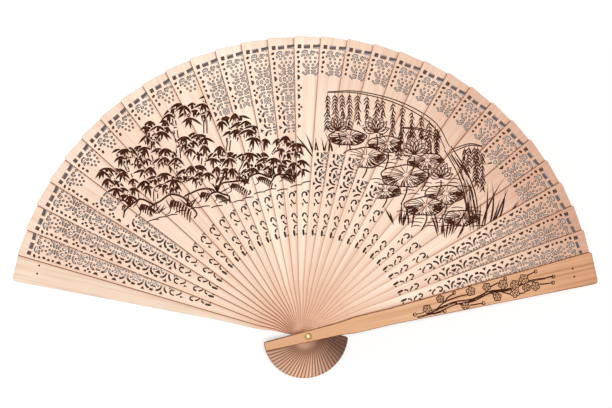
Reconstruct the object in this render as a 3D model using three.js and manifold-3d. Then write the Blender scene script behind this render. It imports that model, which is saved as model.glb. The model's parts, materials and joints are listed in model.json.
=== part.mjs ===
// A folding hand fan of pierced wooden sticks between two guards, held by one brass rivet.
// Millimetres. The rivet's axis is Z through the origin, the back guard's outer face is at z = 0,
// and the open fan spreads over +Y, with the back guard towards -X and the front guard towards +X.
import * as THREE from 'three';
import { mergeVertices } from 'three/addons/utils/BufferGeometryUtils.js';
import Module from 'manifold-3d';

const wasm = await Module();
wasm.setup();

// How the fan is spread
const STICK_COUNT = 29;
const BACK_GUARD_TURN = 166.4; // degrees from +X
const STICK_STEP = 5.135; // degrees from each leaf to the next
const LAST_STEP = 4.4; // degrees from the last stick to the front guard

// Leaf thicknesses and the gap between leaves
const STICK_THICKNESS = 0.45;
const GUARD_THICKNESS = 2.2;
const LEAF_GAP = 0.17;

// Stick outline, measured from the rivet's axis
const TIP_RADIUS = 178;
const STICK_TIP_WIDTH = 20;
const STICK_TIP_SLANT = 0.8; // how much further out the left tip corner is
const STICK_TIP_ROUND = 1.2;
const STICK_SHOULDER_WIDTH = 10.3;
const STICK_NECK_WIDTH = 7.8;
const STICK_HEAD_WIDTH = 6.8;
const HEAD_LENGTH = 26.6;
const HEAD_ROUND = 1.6;
const SHOULDER_RADIUS = 32;
const NECK_RADIUS = 16;

// Guard outline
const GUARD_TIP_WIDTH = 19.8;
const GUARD_TIP_ROUND = 2.2;
const GUARD_FLARE_RADIUS = 51;
const GUARD_SHAFT_WIDTH = 9.8;
const GUARD_NECK_WIDTH = 7.8;
const GUARD_HEAD_WIDTH = 6.7;
const GUARD_HEAD_LENGTH = 26.6;
const PEG_HOLE_RADIUS = 0.5;
const PEG_HOLE_SPACING = 5;
const PEG_HOLE_FROM_TIP = 13.5;

// Rivet and washer
const SHANK_RADIUS = 1.5;
const SHANK_CLEARANCE = 0.15;
const DOME_RADIUS = 2.15;
const DOME_HEIGHT = 1.25;
const DOME_GAP = 0.05;
const TAIL_FLARE = 0.5; // how far the peened tail spreads, and how deep it reaches
const WASHER_RADIUS = 2.7;
const WASHER_THICKNESS = 0.8;
const WASHER_CLEARANCE = 0.12;

// Binding slots near the tips, and the ribbon in them
const SLOT_FROM_TIP = 6; // from the tip to the middle of the slots
const SLOT_HEIGHT = 2.2;
const SLOT_SPANS = [[2, 4.1], [5.7, 9.3], [11.2, 15.4]]; // each slot's ends, from the left edge
const RIBBON_WIDTH = 1.7;
const RIBBON_THICKNESS = 0.06;
const RIBBON_RAMP = 1.8; // run of its climb through the last slot
const RIBBON_END_CLEARANCE = 0.8; // from that slot's end
const RIBBON_LAP = 4; // how far it reaches past a guard's centre line

// Pierced lattice, seen between a stick's left edge and the next stick's
const CROWN_FROM_TIP = 12.5;
const CROWN_COUNT = 3;
const CROWN_HEIGHT = 3.2;
const CROWN_RIM = 0.2; // bare wood at each side, as a share of the openings' pitch
const CROWN_SHARE = 0.66; // an opening's width over the pitch
const CROWN_TAPER = 0.45; // width at the top over width at the foot
const FRAME_COUNT = 6;
const FRAME_FROM_TIP = 25.3; // to the middle of the first frame
const FRAME_PITCH = 11.4;
const FRAME_HALF_HEIGHT = 3.9;
const FRAME_SHARE = 0.54; // of the half of the wedge that shows
const FRAME_RIB = 0.9;
// Frames kept on each stick, counted from the tip down and from the scrolls up
const UPPER_FRAMES = [6, 6, 6, 3, 0, 0, 0, 0, 0, 0, 1, 2, 3, 2, 0, 0, 0, 0, 0, 0, 0, 1, 0, 1, 1, 1, 6, 6, 6];
const LOWER_FRAMES = [0, 0, 0, 2, 0, 0, 0, 0, 0, 0, 0, 0, 0, 0, 0, 1, 2, 2, 1, 1, 0, 0, 0, 0, 0, 0, 0, 0, 0];
const SCROLL_FROM_FRAMES = 10.7; // from the last frame to the first scroll
const SCROLL_PITCH = 7.2;
const GRIP_RADIUS = 58; // no piercing nearer the rivet than this
const SCROLL_TURN = 32; // degrees, to one side and then the other
const SCROLL_LENGTH = 3.4;
const SCROLL_WIDTH = 0.9;

// Smoothness
const CURVE_STEPS = 4;
const HOLE_SIDES = 12;
const PEG_SIDES = 6;
const ROUND_SIDES = 24;
const DOME_STEPS = 6;

const LEAF_PITCH = STICK_THICKNESS + LEAF_GAP;
const FIRST_STICK_Z = GUARD_THICKNESS + LEAF_GAP;
const FRONT_GUARD_Z = FIRST_STICK_Z + STICK_COUNT * LEAF_PITCH;
const FAN_TOP_Z = FRONT_GUARD_Z + GUARD_THICKNESS;
const PIVOT_RADIUS = SHANK_RADIUS + SHANK_CLEARANCE;
const BACK_TURN = THREE.MathUtils.degToRad(BACK_GUARD_TURN);
const STEP = THREE.MathUtils.degToRad(STICK_STEP);
const FRONT_TURN = BACK_TURN - STICK_COUNT * STEP - THREE.MathUtils.degToRad(LAST_STEP);

const stickTurn = (index) => BACK_TURN - index * STEP;
const stickZ = (index) => FIRST_STICK_Z + (index - 1) * LEAF_PITCH;

// Materials
const stickWood = new THREE.MeshStandardMaterial({ color: 0xf0cdb0, roughness: 0.62, metalness: 0 });
const frontWood = new THREE.MeshStandardMaterial({ color: 0xd9a878, roughness: 0.58, metalness: 0 });
const backWood = new THREE.MeshStandardMaterial({ color: 0xf3d9bf, roughness: 0.62, metalness: 0 });
const brass = new THREE.MeshStandardMaterial({ color: 0xd8a84e, roughness: 0.28, metalness: 1 });
const ribbonCloth = new THREE.MeshStandardMaterial({ color: 0xc9c4bd, roughness: 0.85, metalness: 0 });

// Outline of a leaf along +X: rounded head, neck, shoulder, any stations of the flare, and the tip
function leafOutline({ head, headWidth, neckWidth, shoulderWidth, stations, tipWidth, tipSlant, tipRound }) {
  const middle = (NECK_RADIUS + SHOULDER_RADIUS) / 2;
  const rightTip = TIP_RADIUS - tipSlant;
  const shoulder = shoulderWidth / 2;
  const neck = neckWidth / 2;
  const shape = new THREE.Shape();
  shape.moveTo(HEAD_ROUND - head, -headWidth / 2);
  shape.lineTo(NECK_RADIUS, -neck);
  shape.bezierCurveTo(middle, -neck, middle, -shoulder, SHOULDER_RADIUS, -shoulder);
  stations.forEach(([radius, width]) => shape.lineTo(radius, -width / 2));
  shape.lineTo(rightTip - tipRound, -tipWidth / 2);
  shape.quadraticCurveTo(rightTip, -tipWidth / 2, rightTip, tipRound - tipWidth / 2);
  shape.lineTo(TIP_RADIUS, tipWidth / 2 - tipRound);
  shape.quadraticCurveTo(TIP_RADIUS, tipWidth / 2, TIP_RADIUS - tipRound, tipWidth / 2);
  [...stations].reverse().forEach(([radius, width]) => shape.lineTo(radius, width / 2));
  shape.lineTo(SHOULDER_RADIUS, shoulder);
  shape.bezierCurveTo(middle, shoulder, middle, neck, NECK_RADIUS, neck);
  shape.lineTo(HEAD_ROUND - head, headWidth / 2);
  shape.quadraticCurveTo(-head, headWidth / 2, -head, headWidth / 2 - HEAD_ROUND);
  shape.lineTo(-head, HEAD_ROUND - headWidth / 2);
  shape.quadraticCurveTo(-head, -headWidth / 2, HEAD_ROUND - head, -headWidth / 2);
  return shape;
}

// Holes as closed paths of straight sides
const hole = (points) => new THREE.Path(points.map(([x, y]) => new THREE.Vector2(x, y)));

function roundHole(x, y, radius, sides) {
  return hole(Array.from({ length: sides }, (_, k) => {
    const corner = (2 * Math.PI * k) / sides;
    return [x + radius * Math.cos(corner), y + radius * Math.sin(corner)];
  }));
}

function slantedSlot(x, y, length, width, turn) {
  const along = new THREE.Vector2(Math.cos(turn), Math.sin(turn)).multiplyScalar(length / 2);
  const across = new THREE.Vector2(-Math.sin(turn), Math.cos(turn)).multiplyScalar(width / 2);
  const corners = [[-1, -1], [1, -1], [1, 1], [-1, 1]];
  return hole(corners.map(([a, b]) => [x + a * along.x + b * across.x, y + a * along.y + b * across.y]));
}

// The wedge of a stick that shows: its left edge, half width and middle line at a radius
const EDGE_SLOPE = (STICK_TIP_WIDTH - STICK_SHOULDER_WIDTH) / 2 / (TIP_RADIUS - SHOULDER_RADIUS);
const leftEdge = (radius) => STICK_SHOULDER_WIDTH / 2 + EDGE_SLOPE * (radius - SHOULDER_RADIUS);
const wedgeHalf = (radius) => (radius * STEP) / 2;
const wedgeMiddle = (radius) => leftEdge(radius) - wedgeHalf(radius);

// Three arched openings in a row under the binding slots
function crownHoles() {
  const radius = TIP_RADIUS - CROWN_FROM_TIP;
  const pitch = (2 * wedgeHalf(radius)) / (CROWN_COUNT + 2 * CROWN_RIM);
  const foot = (pitch * CROWN_SHARE) / 2;
  const top = foot * CROWN_TAPER;
  const low = radius - CROWN_HEIGHT / 2;
  const high = radius + CROWN_HEIGHT / 2;
  return Array.from({ length: CROWN_COUNT }, (_, k) => {
    const y = wedgeMiddle(radius) + (k - (CROWN_COUNT - 1) / 2) * pitch;
    return hole([[low, y - foot], [high, y - top], [high, y + top], [low, y + foot]]);
  });
}

// One frame of the lattice: four triangles round a cross
const frameRadius = (row) => TIP_RADIUS - FRAME_FROM_TIP - row * FRAME_PITCH;

function frameHoles(row) {
  const radius = frameRadius(row);
  const y = wedgeMiddle(radius);
  const half = wedgeHalf(radius) * FRAME_SHARE;
  const tall = FRAME_HALF_HEIGHT;
  const end = (sign) => hole([
    [radius + sign * FRAME_RIB, y],
    [radius + sign * tall, y + half - FRAME_RIB],
    [radius + sign * tall, y + FRAME_RIB - half],
  ]);
  const side = (sign) => hole([
    [radius, y + sign * FRAME_RIB],
    [radius + tall - FRAME_RIB, y + sign * half],
    [radius - tall + FRAME_RIB, y + sign * half],
  ]);
  return [end(1), end(-1), side(1), side(-1)];
}

// Short slanted slots below the frames, leaning to one side and then the other
function scrollHoles() {
  const turn = THREE.MathUtils.degToRad(SCROLL_TURN);
  const first = frameRadius(FRAME_COUNT - 1) - SCROLL_FROM_FRAMES;
  const holes = [];
  let side = 1;
  for (let radius = first; radius > GRIP_RADIUS; radius -= SCROLL_PITCH) {
    holes.push(slantedSlot(radius, wedgeMiddle(radius), SCROLL_LENGTH, SCROLL_WIDTH, side * turn));
    side = -side;
  }
  return holes;
}

// Binding slots: three in a row across the stick
const SLOT_RADIUS = TIP_RADIUS - SLOT_FROM_TIP;

function slotHoles() {
  const edge = leftEdge(SLOT_RADIUS);
  return SLOT_SPANS.map(([from, to]) => {
    const middle = edge - (from + to) / 2;
    return slantedSlot(SLOT_RADIUS, middle, SLOT_HEIGHT, to - from, 0);
  });
}

const plate = (shape, depth) =>
  new THREE.ExtrudeGeometry(shape, { depth, bevelEnabled: false, curveSegments: CURVE_STEPS });

// Sticks
function stickGeometry(index) {
  const shape = leafOutline({
    head: HEAD_LENGTH,
    headWidth: STICK_HEAD_WIDTH,
    neckWidth: STICK_NECK_WIDTH,
    shoulderWidth: STICK_SHOULDER_WIDTH,
    stations: [],
    tipWidth: STICK_TIP_WIDTH,
    tipSlant: STICK_TIP_SLANT,
    tipRound: STICK_TIP_ROUND,
  });
  const upper = Array.from({ length: UPPER_FRAMES[index - 1] }, (_, k) => k);
  const lower = Array.from({ length: LOWER_FRAMES[index - 1] }, (_, k) => FRAME_COUNT - 1 - k);
  shape.holes.push(roundHole(0, 0, PIVOT_RADIUS, HOLE_SIDES));
  shape.holes.push(...slotHoles(), ...crownHoles(), ...scrollHoles());
  [...upper, ...lower].forEach((row) => shape.holes.push(...frameHoles(row)));
  return plate(shape, STICK_THICKNESS);
}

// Guards
function guardGeometry() {
  const shape = leafOutline({
    head: GUARD_HEAD_LENGTH,
    headWidth: GUARD_HEAD_WIDTH,
    neckWidth: GUARD_NECK_WIDTH,
    shoulderWidth: GUARD_SHAFT_WIDTH,
    stations: [[GUARD_FLARE_RADIUS, GUARD_SHAFT_WIDTH]],
    tipWidth: GUARD_TIP_WIDTH,
    tipSlant: 0,
    tipRound: GUARD_TIP_ROUND,
  });
  shape.holes.push(roundHole(0, 0, PIVOT_RADIUS, HOLE_SIDES));
  [1, -1].forEach((side) => {
    const y = (side * PEG_HOLE_SPACING) / 2;
    shape.holes.push(roundHole(TIP_RADIUS - PEG_HOLE_FROM_TIP, y, PEG_HOLE_RADIUS, PEG_SIDES));
  });
  return plate(shape, GUARD_THICKNESS);
}

function solidOf(geometry) {
  const bare = geometry.clone();
  bare.deleteAttribute('normal');
  bare.deleteAttribute('uv');
  const merged = mergeVertices(bare);
  const vertProperties = new Float32Array(merged.attributes.position.array);
  const triVerts = new Uint32Array(merged.index.array);
  return new wasm.Manifold(new wasm.Mesh({ numProp: 3, vertProperties, triVerts }));
}

function geometryOf(solid) {
  const mesh = solid.getMesh();
  const geometry = new THREE.BufferGeometry();
  geometry.setAttribute('position', new THREE.BufferAttribute(mesh.vertProperties, mesh.numProp));
  geometry.setIndex(new THREE.BufferAttribute(mesh.triVerts, 1));
  return geometry;
}

// The back guard has a round recess in its outer face for the washer
function backGuardGeometry() {
  const radius = WASHER_RADIUS + WASHER_CLEARANCE;
  const depth = WASHER_THICKNESS + WASHER_CLEARANCE;
  const recess = new THREE.CylinderGeometry(radius, radius, 2 * depth, ROUND_SIDES).rotateX(Math.PI / 2);
  return geometryOf(solidOf(guardGeometry()).subtract(solidOf(recess)));
}

// Rivet: flared tail, shank and domed head, turned about Z
function turned(profile) {
  const points = profile.map(([radius, z]) => new THREE.Vector2(radius, z));
  return new THREE.LatheGeometry(points, ROUND_SIDES).rotateX(Math.PI / 2);
}

function rivetGeometry() {
  const domeFoot = FAN_TOP_Z + DOME_GAP;
  const dome = Array.from({ length: DOME_STEPS + 1 }, (_, k) => {
    const rise = (Math.PI / 2) * (k / DOME_STEPS);
    return [k === DOME_STEPS ? 0 : DOME_RADIUS * Math.cos(rise), domeFoot + DOME_HEIGHT * Math.sin(rise)];
  });
  const tail = [[0, 0], [SHANK_RADIUS + TAIL_FLARE, 0], [SHANK_RADIUS, TAIL_FLARE]];
  return turned([...tail, [SHANK_RADIUS, domeFoot], ...dome]);
}

// The washer's hole is flared to take the peened tail
function washerGeometry() {
  const mouth = SHANK_RADIUS + TAIL_FLARE + WASHER_CLEARANCE;
  const bore = SHANK_RADIUS + WASHER_CLEARANCE;
  return turned([
    [mouth, 0],
    [WASHER_RADIUS, 0],
    [WASHER_RADIUS, WASHER_THICKNESS],
    [bore, WASHER_THICKNESS],
    [bore, TAIL_FLARE],
    [mouth, 0],
  ]);
}

// Binding ribbon: along the slots at one radius, under each stick, up through its last slot
// and on under the next stick, as stations of a direction about Z and a height
function ribbonStations(radius) {
  const turnOf = (across) => Math.asin(across / radius);
  const level = (index) => stickZ(index) - LEAF_GAP / 2;
  const slotEnd = SLOT_SPANS[SLOT_SPANS.length - 1][1];
  const rampEnd = leftEdge(radius) - slotEnd + RIBBON_END_CLEARANCE;
  const stations = [[BACK_TURN + turnOf(RIBBON_LAP), level(1)]];
  for (let index = 1; index <= STICK_COUNT; index += 1) {
    stations.push([stickTurn(index) + turnOf(rampEnd + RIBBON_RAMP), level(index)]);
    stations.push([stickTurn(index) + turnOf(rampEnd), level(index + 1)]);
  }
  stations.push([FRONT_TURN - turnOf(RIBBON_LAP), level(STICK_COUNT + 1)]);
  return stations;
}

function ribbonGeometry() {
  const section = [[-1, -1], [1, -1], [1, 1], [-1, 1]];
  const stations = ribbonStations(SLOT_RADIUS);
  const positions = stations.flatMap(([turn, z]) => section.flatMap(([out, up]) => {
    const reach = SLOT_RADIUS + (out * RIBBON_WIDTH) / 2;
    return [reach * Math.cos(turn), reach * Math.sin(turn), z + (up * RIBBON_THICKNESS) / 2];
  }));
  const sides = section.length;
  const last = (stations.length - 1) * sides;
  const indices = [0, 2, 1, 0, 3, 2, last, last + 1, last + 2, last, last + 2, last + 3];
  for (let station = 0; station < stations.length - 1; station += 1) {
    for (let k = 0; k < sides; k += 1) {
      const a = station * sides + k;
      const b = station * sides + ((k + 1) % sides);
      indices.push(a, b, a + sides, b, b + sides, a + sides);
    }
  }
  const geometry = new THREE.BufferGeometry();
  geometry.setAttribute('position', new THREE.Float32BufferAttribute(positions, 3));
  geometry.setIndex(indices);
  return geometry;
}

// Assembly
const fan = new THREE.Group();

function addLeaf(name, geometry, material, turn, z) {
  const leaf = new THREE.Mesh(geometry, material);
  leaf.name = name;
  leaf.rotation.z = turn;
  leaf.position.z = z;
  fan.add(leaf);
}

addLeaf('back_guard', backGuardGeometry(), backWood, BACK_TURN, 0);
for (let index = 1; index <= STICK_COUNT; index += 1) {
  const name = `stick_${String(index).padStart(2, '0')}`;
  addLeaf(name, stickGeometry(index), stickWood.clone(), stickTurn(index), stickZ(index));
}
addLeaf('front_guard', guardGeometry(), frontWood, FRONT_TURN, FRONT_GUARD_Z);
addLeaf('rivet_pin', rivetGeometry(), brass, 0, 0);
addLeaf('rivet_washer', washerGeometry(), brass.clone(), 0, 0);
addLeaf('binding_ribbon', ribbonGeometry(), ribbonCloth, 0, 0);

export default fan;
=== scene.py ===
"""Looks of a pierced wooden folding fan: leaves, guards, rivet, binding ribbon and pen drawing."""

import json
import logging
import math
from collections.abc import Callable, Iterable, Sequence
from dataclasses import dataclass, field, replace
from enum import Enum

import bpy
import numpy as np
from mathutils import Matrix, Vector
from mathutils.geometry import delaunay_2d_cdt

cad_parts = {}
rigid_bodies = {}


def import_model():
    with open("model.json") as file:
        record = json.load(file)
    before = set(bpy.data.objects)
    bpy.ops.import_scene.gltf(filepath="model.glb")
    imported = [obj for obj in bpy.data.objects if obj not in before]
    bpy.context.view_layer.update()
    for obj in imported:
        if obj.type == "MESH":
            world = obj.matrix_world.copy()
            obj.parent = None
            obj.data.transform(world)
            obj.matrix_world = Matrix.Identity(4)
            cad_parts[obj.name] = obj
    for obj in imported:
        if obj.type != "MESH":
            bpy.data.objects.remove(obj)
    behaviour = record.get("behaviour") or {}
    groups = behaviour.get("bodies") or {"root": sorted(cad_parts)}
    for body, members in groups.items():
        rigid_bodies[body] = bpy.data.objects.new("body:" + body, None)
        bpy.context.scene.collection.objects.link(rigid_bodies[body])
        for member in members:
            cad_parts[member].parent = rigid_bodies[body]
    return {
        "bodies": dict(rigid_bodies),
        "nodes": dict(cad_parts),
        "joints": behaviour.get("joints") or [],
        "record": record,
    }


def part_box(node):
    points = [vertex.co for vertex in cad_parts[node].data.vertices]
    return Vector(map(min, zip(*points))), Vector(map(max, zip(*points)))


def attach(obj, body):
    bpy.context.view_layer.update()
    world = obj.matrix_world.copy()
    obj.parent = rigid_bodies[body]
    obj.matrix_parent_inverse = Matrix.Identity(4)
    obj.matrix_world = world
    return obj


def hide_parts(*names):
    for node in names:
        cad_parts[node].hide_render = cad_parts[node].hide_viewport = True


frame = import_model()

LOG = logging.getLogger("fan")
MM = 0.001
TINY = 1e-9
WELD = 1e-7

Array = np.ndarray
Socket = bpy.types.NodeSocket
HalfWidth = Callable[[Array], Array]
Point = tuple[float, float]
Colour = tuple[float, float, float]


def paint(red: int, green: int, blue: int) -> Colour:
    """Linear colour of a colour given in the 0 to 255 steps of a screen."""
    steps = np.array([red, green, blue]) / 255
    bright = ((steps + 0.055) / 1.055) ** 2.4
    return tuple(float(c) for c in np.where(steps > 0.04045, bright, steps / 12.92))


# Plane curves and loops, in millimetres


def smooth(points: Sequence[Point], per_span: int = 5) -> Array:
    """Curve through points: each span is a cubic whose end slopes follow the neighbouring points.

    Args:
        points: the points that the curve passes through.
        per_span: samples in each span.

    Returns:
        The sampled curve, one row a point.
    """
    knots = np.asarray(points, float)
    ends = np.vstack([2 * knots[:1] - knots[1:2], knots, 2 * knots[-1:] - knots[-2:-1]])
    t = np.linspace(0, 1, per_span, endpoint=False)[None, :, None]
    a, b, c, d = (ends[k:k + len(knots) - 1][:, None, :] for k in range(4))
    cubic = b + 0.5 * t * (c - a + t * (2 * a - 5 * b + 4 * c - d + t * (3 * (b - c) + d - a)))
    return np.vstack([cubic.reshape(-1, 2), knots[-1:]])


def oval(centre: Point | Array, across: Array | float, along: Array | float, turn: Array | float) -> Array:
    """Points of an oval: centre + (across cos turn, along sin turn)."""
    return np.asarray(centre) + np.stack([across * np.cos(turn), along * np.sin(turn)], axis=-1)


def heading(angle: float) -> tuple[Array, Array]:
    """Unit vectors ahead and to the left, for a direction in degrees."""
    a = math.radians(angle)
    return np.array([math.cos(a), math.sin(a)]), np.array([-math.sin(a), math.cos(a)])


def sides(path: Array, widths: Array) -> tuple[Array, Array]:
    """Left and right sides of a path: each point moved by half its width along the path's normal."""
    run = np.gradient(path, axis=0)
    run /= np.maximum(np.linalg.norm(run, axis=1, keepdims=True), TINY)
    normal = np.stack([-run[:, 1], run[:, 0]], axis=1) * (widths / 2)[:, None]
    return path + normal, path - normal


def clockwise(loop: Array) -> Array:
    """The loop, turned round where its signed area is positive."""
    x, y = loop.T
    area = np.sum(x * np.roll(y, -1) - y * np.roll(x, -1))
    return loop[::-1] if area > 0 else loop


def inset(loop: Array, distance: float) -> Array:
    """Loop moved sideways, to the left of its travel.

    Each corner moves along the sum of its two sides' normals, as far as keeps both sides parallel.

    Args:
        loop: corners in order, one row each.
        distance: how far each side moves.

    Returns:
        The moved corners.
    """
    after = np.roll(loop, -1, axis=0) - loop
    after /= np.maximum(np.linalg.norm(after, axis=1, keepdims=True), TINY)
    normal = np.stack([-after[:, 1], after[:, 0]], axis=1)
    before = np.roll(normal, 1, axis=0)
    spread = np.maximum(1 + np.sum(normal * before, axis=1, keepdims=True), 0.5)
    return loop + distance * (normal + before) / spread


# Faces between rings of vertices


def ring_walls(here: Array, after: Array, rise: int) -> Array:
    """Quads between a ring of vertices and the next one.

    Args:
        here: vertex numbers of the first ring.
        after: each one's follower on its ring.
        rise: how much higher the second ring's numbers are.

    Returns:
        Vertex numbers, one row a quad.
    """
    return np.stack([here, after, after + rise, here + rise], axis=1)


def strip(left: Array, right: Array, high: Array | float, low: Array | float) -> tuple[Array, Array]:
    """A closed strip between two lines, with flat ends.

    Args:
        left: leaf places of its left side, one row each.
        right: the same for its right side.
        high: height of its upper face.
        low: height of its lower face.

    Returns:
        Leaf points, four for each place, and quads.
    """
    count = len(left)
    corners = ((left, high), (right, high), (right, low), (left, low))
    points = np.stack([np.column_stack([line, np.full(count, z)]) for line, z in corners], axis=1)
    here = 4 * np.arange(count - 1)
    walls = [ring_walls(here + k, here + (k + 1) % 4, 4) for k in range(4)]
    last = 4 * (count - 1)
    ends = [(3, 2, 1, 0), (last, last + 1, last + 2, last + 3)]
    return points.reshape(-1, 3), np.vstack([*walls, ends])


# Openings of the lattice, drawn with x to the right and y towards the tip


class Side(Enum):
    """What an opening's x is measured from."""

    MIDDLE = "middle line of the stick"
    LEFT = "left edge of the stick"


@dataclass(frozen=True)
class Dot:
    """An oval opening, turned by an angle in degrees."""

    x: float
    y: float
    across: float
    along: float
    turn: float = 0.0
    corners: int = 10

    def loop(self) -> Array:
        """Oval: across cos t, along sin t, turned and moved to its place."""
        t = np.linspace(0, 2 * math.pi, self.corners, endpoint=False)
        return (self.x, self.y) + oval((0, 0), self.across, self.along, t) @ heading(self.turn)


@dataclass(frozen=True)
class Cut:
    """A stroke sawn along a curve, with its width at the start, middle and end."""

    points: tuple[Point, ...]
    widths: tuple[float, float, float] = (0.7, 0.7, 0.7)

    def loop(self) -> Array:
        """Both sides of the smooth curve through the points, with blunt round ends."""
        path = smooth(self.points, 4)
        t = np.linspace(0, 1, len(path))
        widths = np.interp(t, (0, 0.5, 1), self.widths) * np.minimum(1, 0.55 + 6 * np.minimum(t, 1 - t))
        left, right = sides(path, widths)
        return np.vstack([left, right[::-1]])


@dataclass(frozen=True)
class Chip:
    """An opening with straight sides."""

    corners: tuple[Point, ...]

    def loop(self) -> Array:
        """The corners in order."""
        return np.asarray(self.corners, float)


Opening = Dot | Cut | Chip


def mirrored(openings: Iterable[Opening], flip_x: bool, flip_y: bool) -> list[Opening]:
    """The openings turned over, left to right or top to bottom or both."""
    sx = -1 if flip_x else 1
    sy = -1 if flip_y else 1
    turned: list[Opening] = []
    for item in openings:
        if isinstance(item, Dot):
            turned.append(Dot(sx * item.x, sy * item.y, item.across, item.along, sx * sy * item.turn))
        elif isinstance(item, Cut):
            turned.append(Cut(tuple((sx * x, sy * y) for x, y in item.points), item.widths))
        else:
            turned.append(Chip(tuple((sx * x, sy * y) for x, y in item.corners)))
    return turned


def both_ways(openings: Sequence[Opening]) -> list[Opening]:
    """The openings of one quarter, with their copies in the other three."""
    return [item for x in (False, True) for y in (False, True) for item in mirrored(openings, x, y)]


def both_sides(openings: Sequence[Opening]) -> list[Opening]:
    """The openings, with their mirror images on the other side of the middle line."""
    return [*openings, *mirrored(openings, True, False)]


def opposite(openings: Sequence[Opening]) -> list[Opening]:
    """The openings, and each one again half a turn round."""
    return [*openings, *mirrored(openings, True, True)]


CROWN = (
    Cut(((-5.3, 4.4), (-3.8, 5.1), (-2.1, 4.8)), (0.5, 1.4, 1.7)),
    Cut(((0.75, 5.5), (0.15, 4.6), (0.45, 3.6), (1.5, 3.2)), (0.65, 0.65, 0.55)),
    Dot(2.0, 4.85, 0.6, 0.6),
    Cut(((3.75, 5.0), (4.35, 3.9)), (0.8, 0.85, 0.75)),
    Cut(((-5.5, 2.3), (-4.7, 3.0), (-3.6, 2.8)), (0.55, 0.7, 0.55)),
    Dot(-1.65, 3.0, 0.75, 0.55),
    Dot(-3.2, 1.3, 0.48, 0.45),
    Dot(-0.4, 1.4, 0.52, 0.48),
    Dot(2.85, 1.4, 0.52, 0.48),
    Dot(-2.6, -0.9, 0.42, 0.5),
    Dot(0.0, -0.9, 0.42, 0.5),
    Dot(2.5, -0.9, 0.42, 0.5),
    Dot(5.2, 1.6, 0.5, 0.5),
    Dot(5.15, -1.2, 0.45, 0.55),
    Dot(4.65, -5.4, 0.5, 0.45),
)
CROWN_FOOT = (
    Dot(1.35, -2.8, 0.46, 0.5),
    Cut(((4.4, -2.1), (3.7, -3.5), (2.6, -4.4), (0.8, -4.65)), (0.8, 0.75, 0.6)),
)
CROWN_EDGE = (
    Dot(2.1, 4.7, 0.85, 0.48, 25),
    Dot(2.1, 1.7, 0.48, 0.48),
    Dot(2.5, -1.1, 0.5, 0.8, -20),
    Dot(2.1, -4.0, 0.48, 0.55),
    Dot(2.2, -6.7, 0.45, 0.5),
)

OVAL_QUARTER = (
    Cut(((0.7, 3.25), (2.2, 2.95), (3.3, 2.1)), (0.55, 0.75, 0.65)),
    Dot(4.3, 3.3, 0.48, 0.48),
    Cut(((0.6, 4.6), (2.9, 4.6)), (0.65, 0.65, 0.65)),
)
OVAL_HALF = (
    Dot(0.0, 1.7, 0.42, 0.38),
    Dot(1.7, 0.0, 0.8, 1.05),
    Cut(((4.0, 1.2), (4.2, 0.0), (4.0, -1.2)), (0.6, 0.8, 0.6)),
)
RING_QUARTER = (
    Cut(((4.3, 2.3), (3.75, 3.6), (2.6, 4.6), (0.7, 4.9)), (0.85, 0.8, 0.65)),
    Dot(1.45, 2.95, 0.42, 0.42),
)
STAR_HALF = (
    Chip(((-1.2, 1.85), (1.2, 1.85), (0.0, 0.55))),
    Chip(((1.85, 1.2), (1.85, -1.2), (0.55, 0.0))),
    Cut(((3.4, 1.2), (3.6, 0.0), (3.4, -1.2)), (0.6, 0.75, 0.6)),
)
CROSS_HALF = (
    Chip(((-1.5, 2.05), (1.5, 2.05), (0.0, 0.7))),
    Chip(((2.65, 1.75), (2.65, -1.75), (0.8, 0.0))),
)
CROSS_SIDE = (Chip(((5.2, 1.4), (4.2, 1.4), (4.2, -0.4), (5.2, -0.4))),)
RING_LENS = (Chip(((1.75, 1.8), (2.5, 1.4), (2.95, 0.55), (2.5, -0.3), (1.75, -0.7))),)
RING_BEADS = (
    Dot(2.2, -4.3, 0.45, 0.5),
    Dot(2.2, -7.1, 0.45, 0.5),
    Dot(3.5, -5.7, 0.42, 0.45),
)
RING_WEDGE = (Chip(((1.5, -4.8), (2.9, -5.7), (1.5, -6.6))),)
LAST_ARC = (Cut(((0.8, -6.6), (2.6, -7.3), (3.9, -8.9)), (0.65, 0.8, 0.75)),)

UPPER_SCROLL = (
    Cut(((-3.9, 1.0), (-3.75, 2.8), (-2.6, 3.9), (-1.3, 3.2), (-1.25, 1.7)), (0.45, 0.5, 1.0)),
    Chip(((-1.25, 4.75), (0.35, 4.85), (0.1, 3.5))),
    Cut(((-3.3, -0.3), (-2.6, -1.3), (-1.9, -2.3), (-1.2, -2.75), (-0.5, -2.3)), (0.5, 0.55, 0.35)),
    Chip(((-3.95, -3.0), (-3.05, -2.8), (-3.2, -4.9))),
)
LOWER_SCROLL = (
    Cut(((-3.3, 4.2), (-3.2, 5.5), (-2.4, 6.3), (-1.5, 5.9), (-1.2, 4.9)), (0.8, 0.55, 0.35)),
    Dot(-0.45, 4.2, 0.36, 0.6, -15),
    Cut(((-2.8, 2.8), (-2.2, 1.8), (-1.5, 1.0), (-0.7, 0.7)), (0.7, 0.5, 0.35)),
    Cut(((-0.9, -0.9), (-1.8, -0.95), (-2.35, -1.7), (-2.6, -2.7)), (0.35, 0.5, 0.65)),
    Cut(((-2.95, -3.6), (-2.6, -7.0)), (0.9, 1.0, 0.9)),
    Dot(-1.2, -6.2, 0.3, 0.42),
)


# Leaves


@dataclass(frozen=True)
class LeafPose:
    """Where a leaf lies at rest: its node, its turn from +X, its lower face and its thickness."""

    node: str
    turn: float
    low: float
    thickness: float

    def placed(self, leaf: Array) -> Array:
        """Leaf points (along, to the left, up from the lower face) in the frame, in metres."""
        u, v, w = leaf.T
        c = math.cos(self.turn)
        s = math.sin(self.turn)
        return MM * np.stack([c * u - s * v, s * u + c * v, w + self.low], axis=1)


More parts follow.
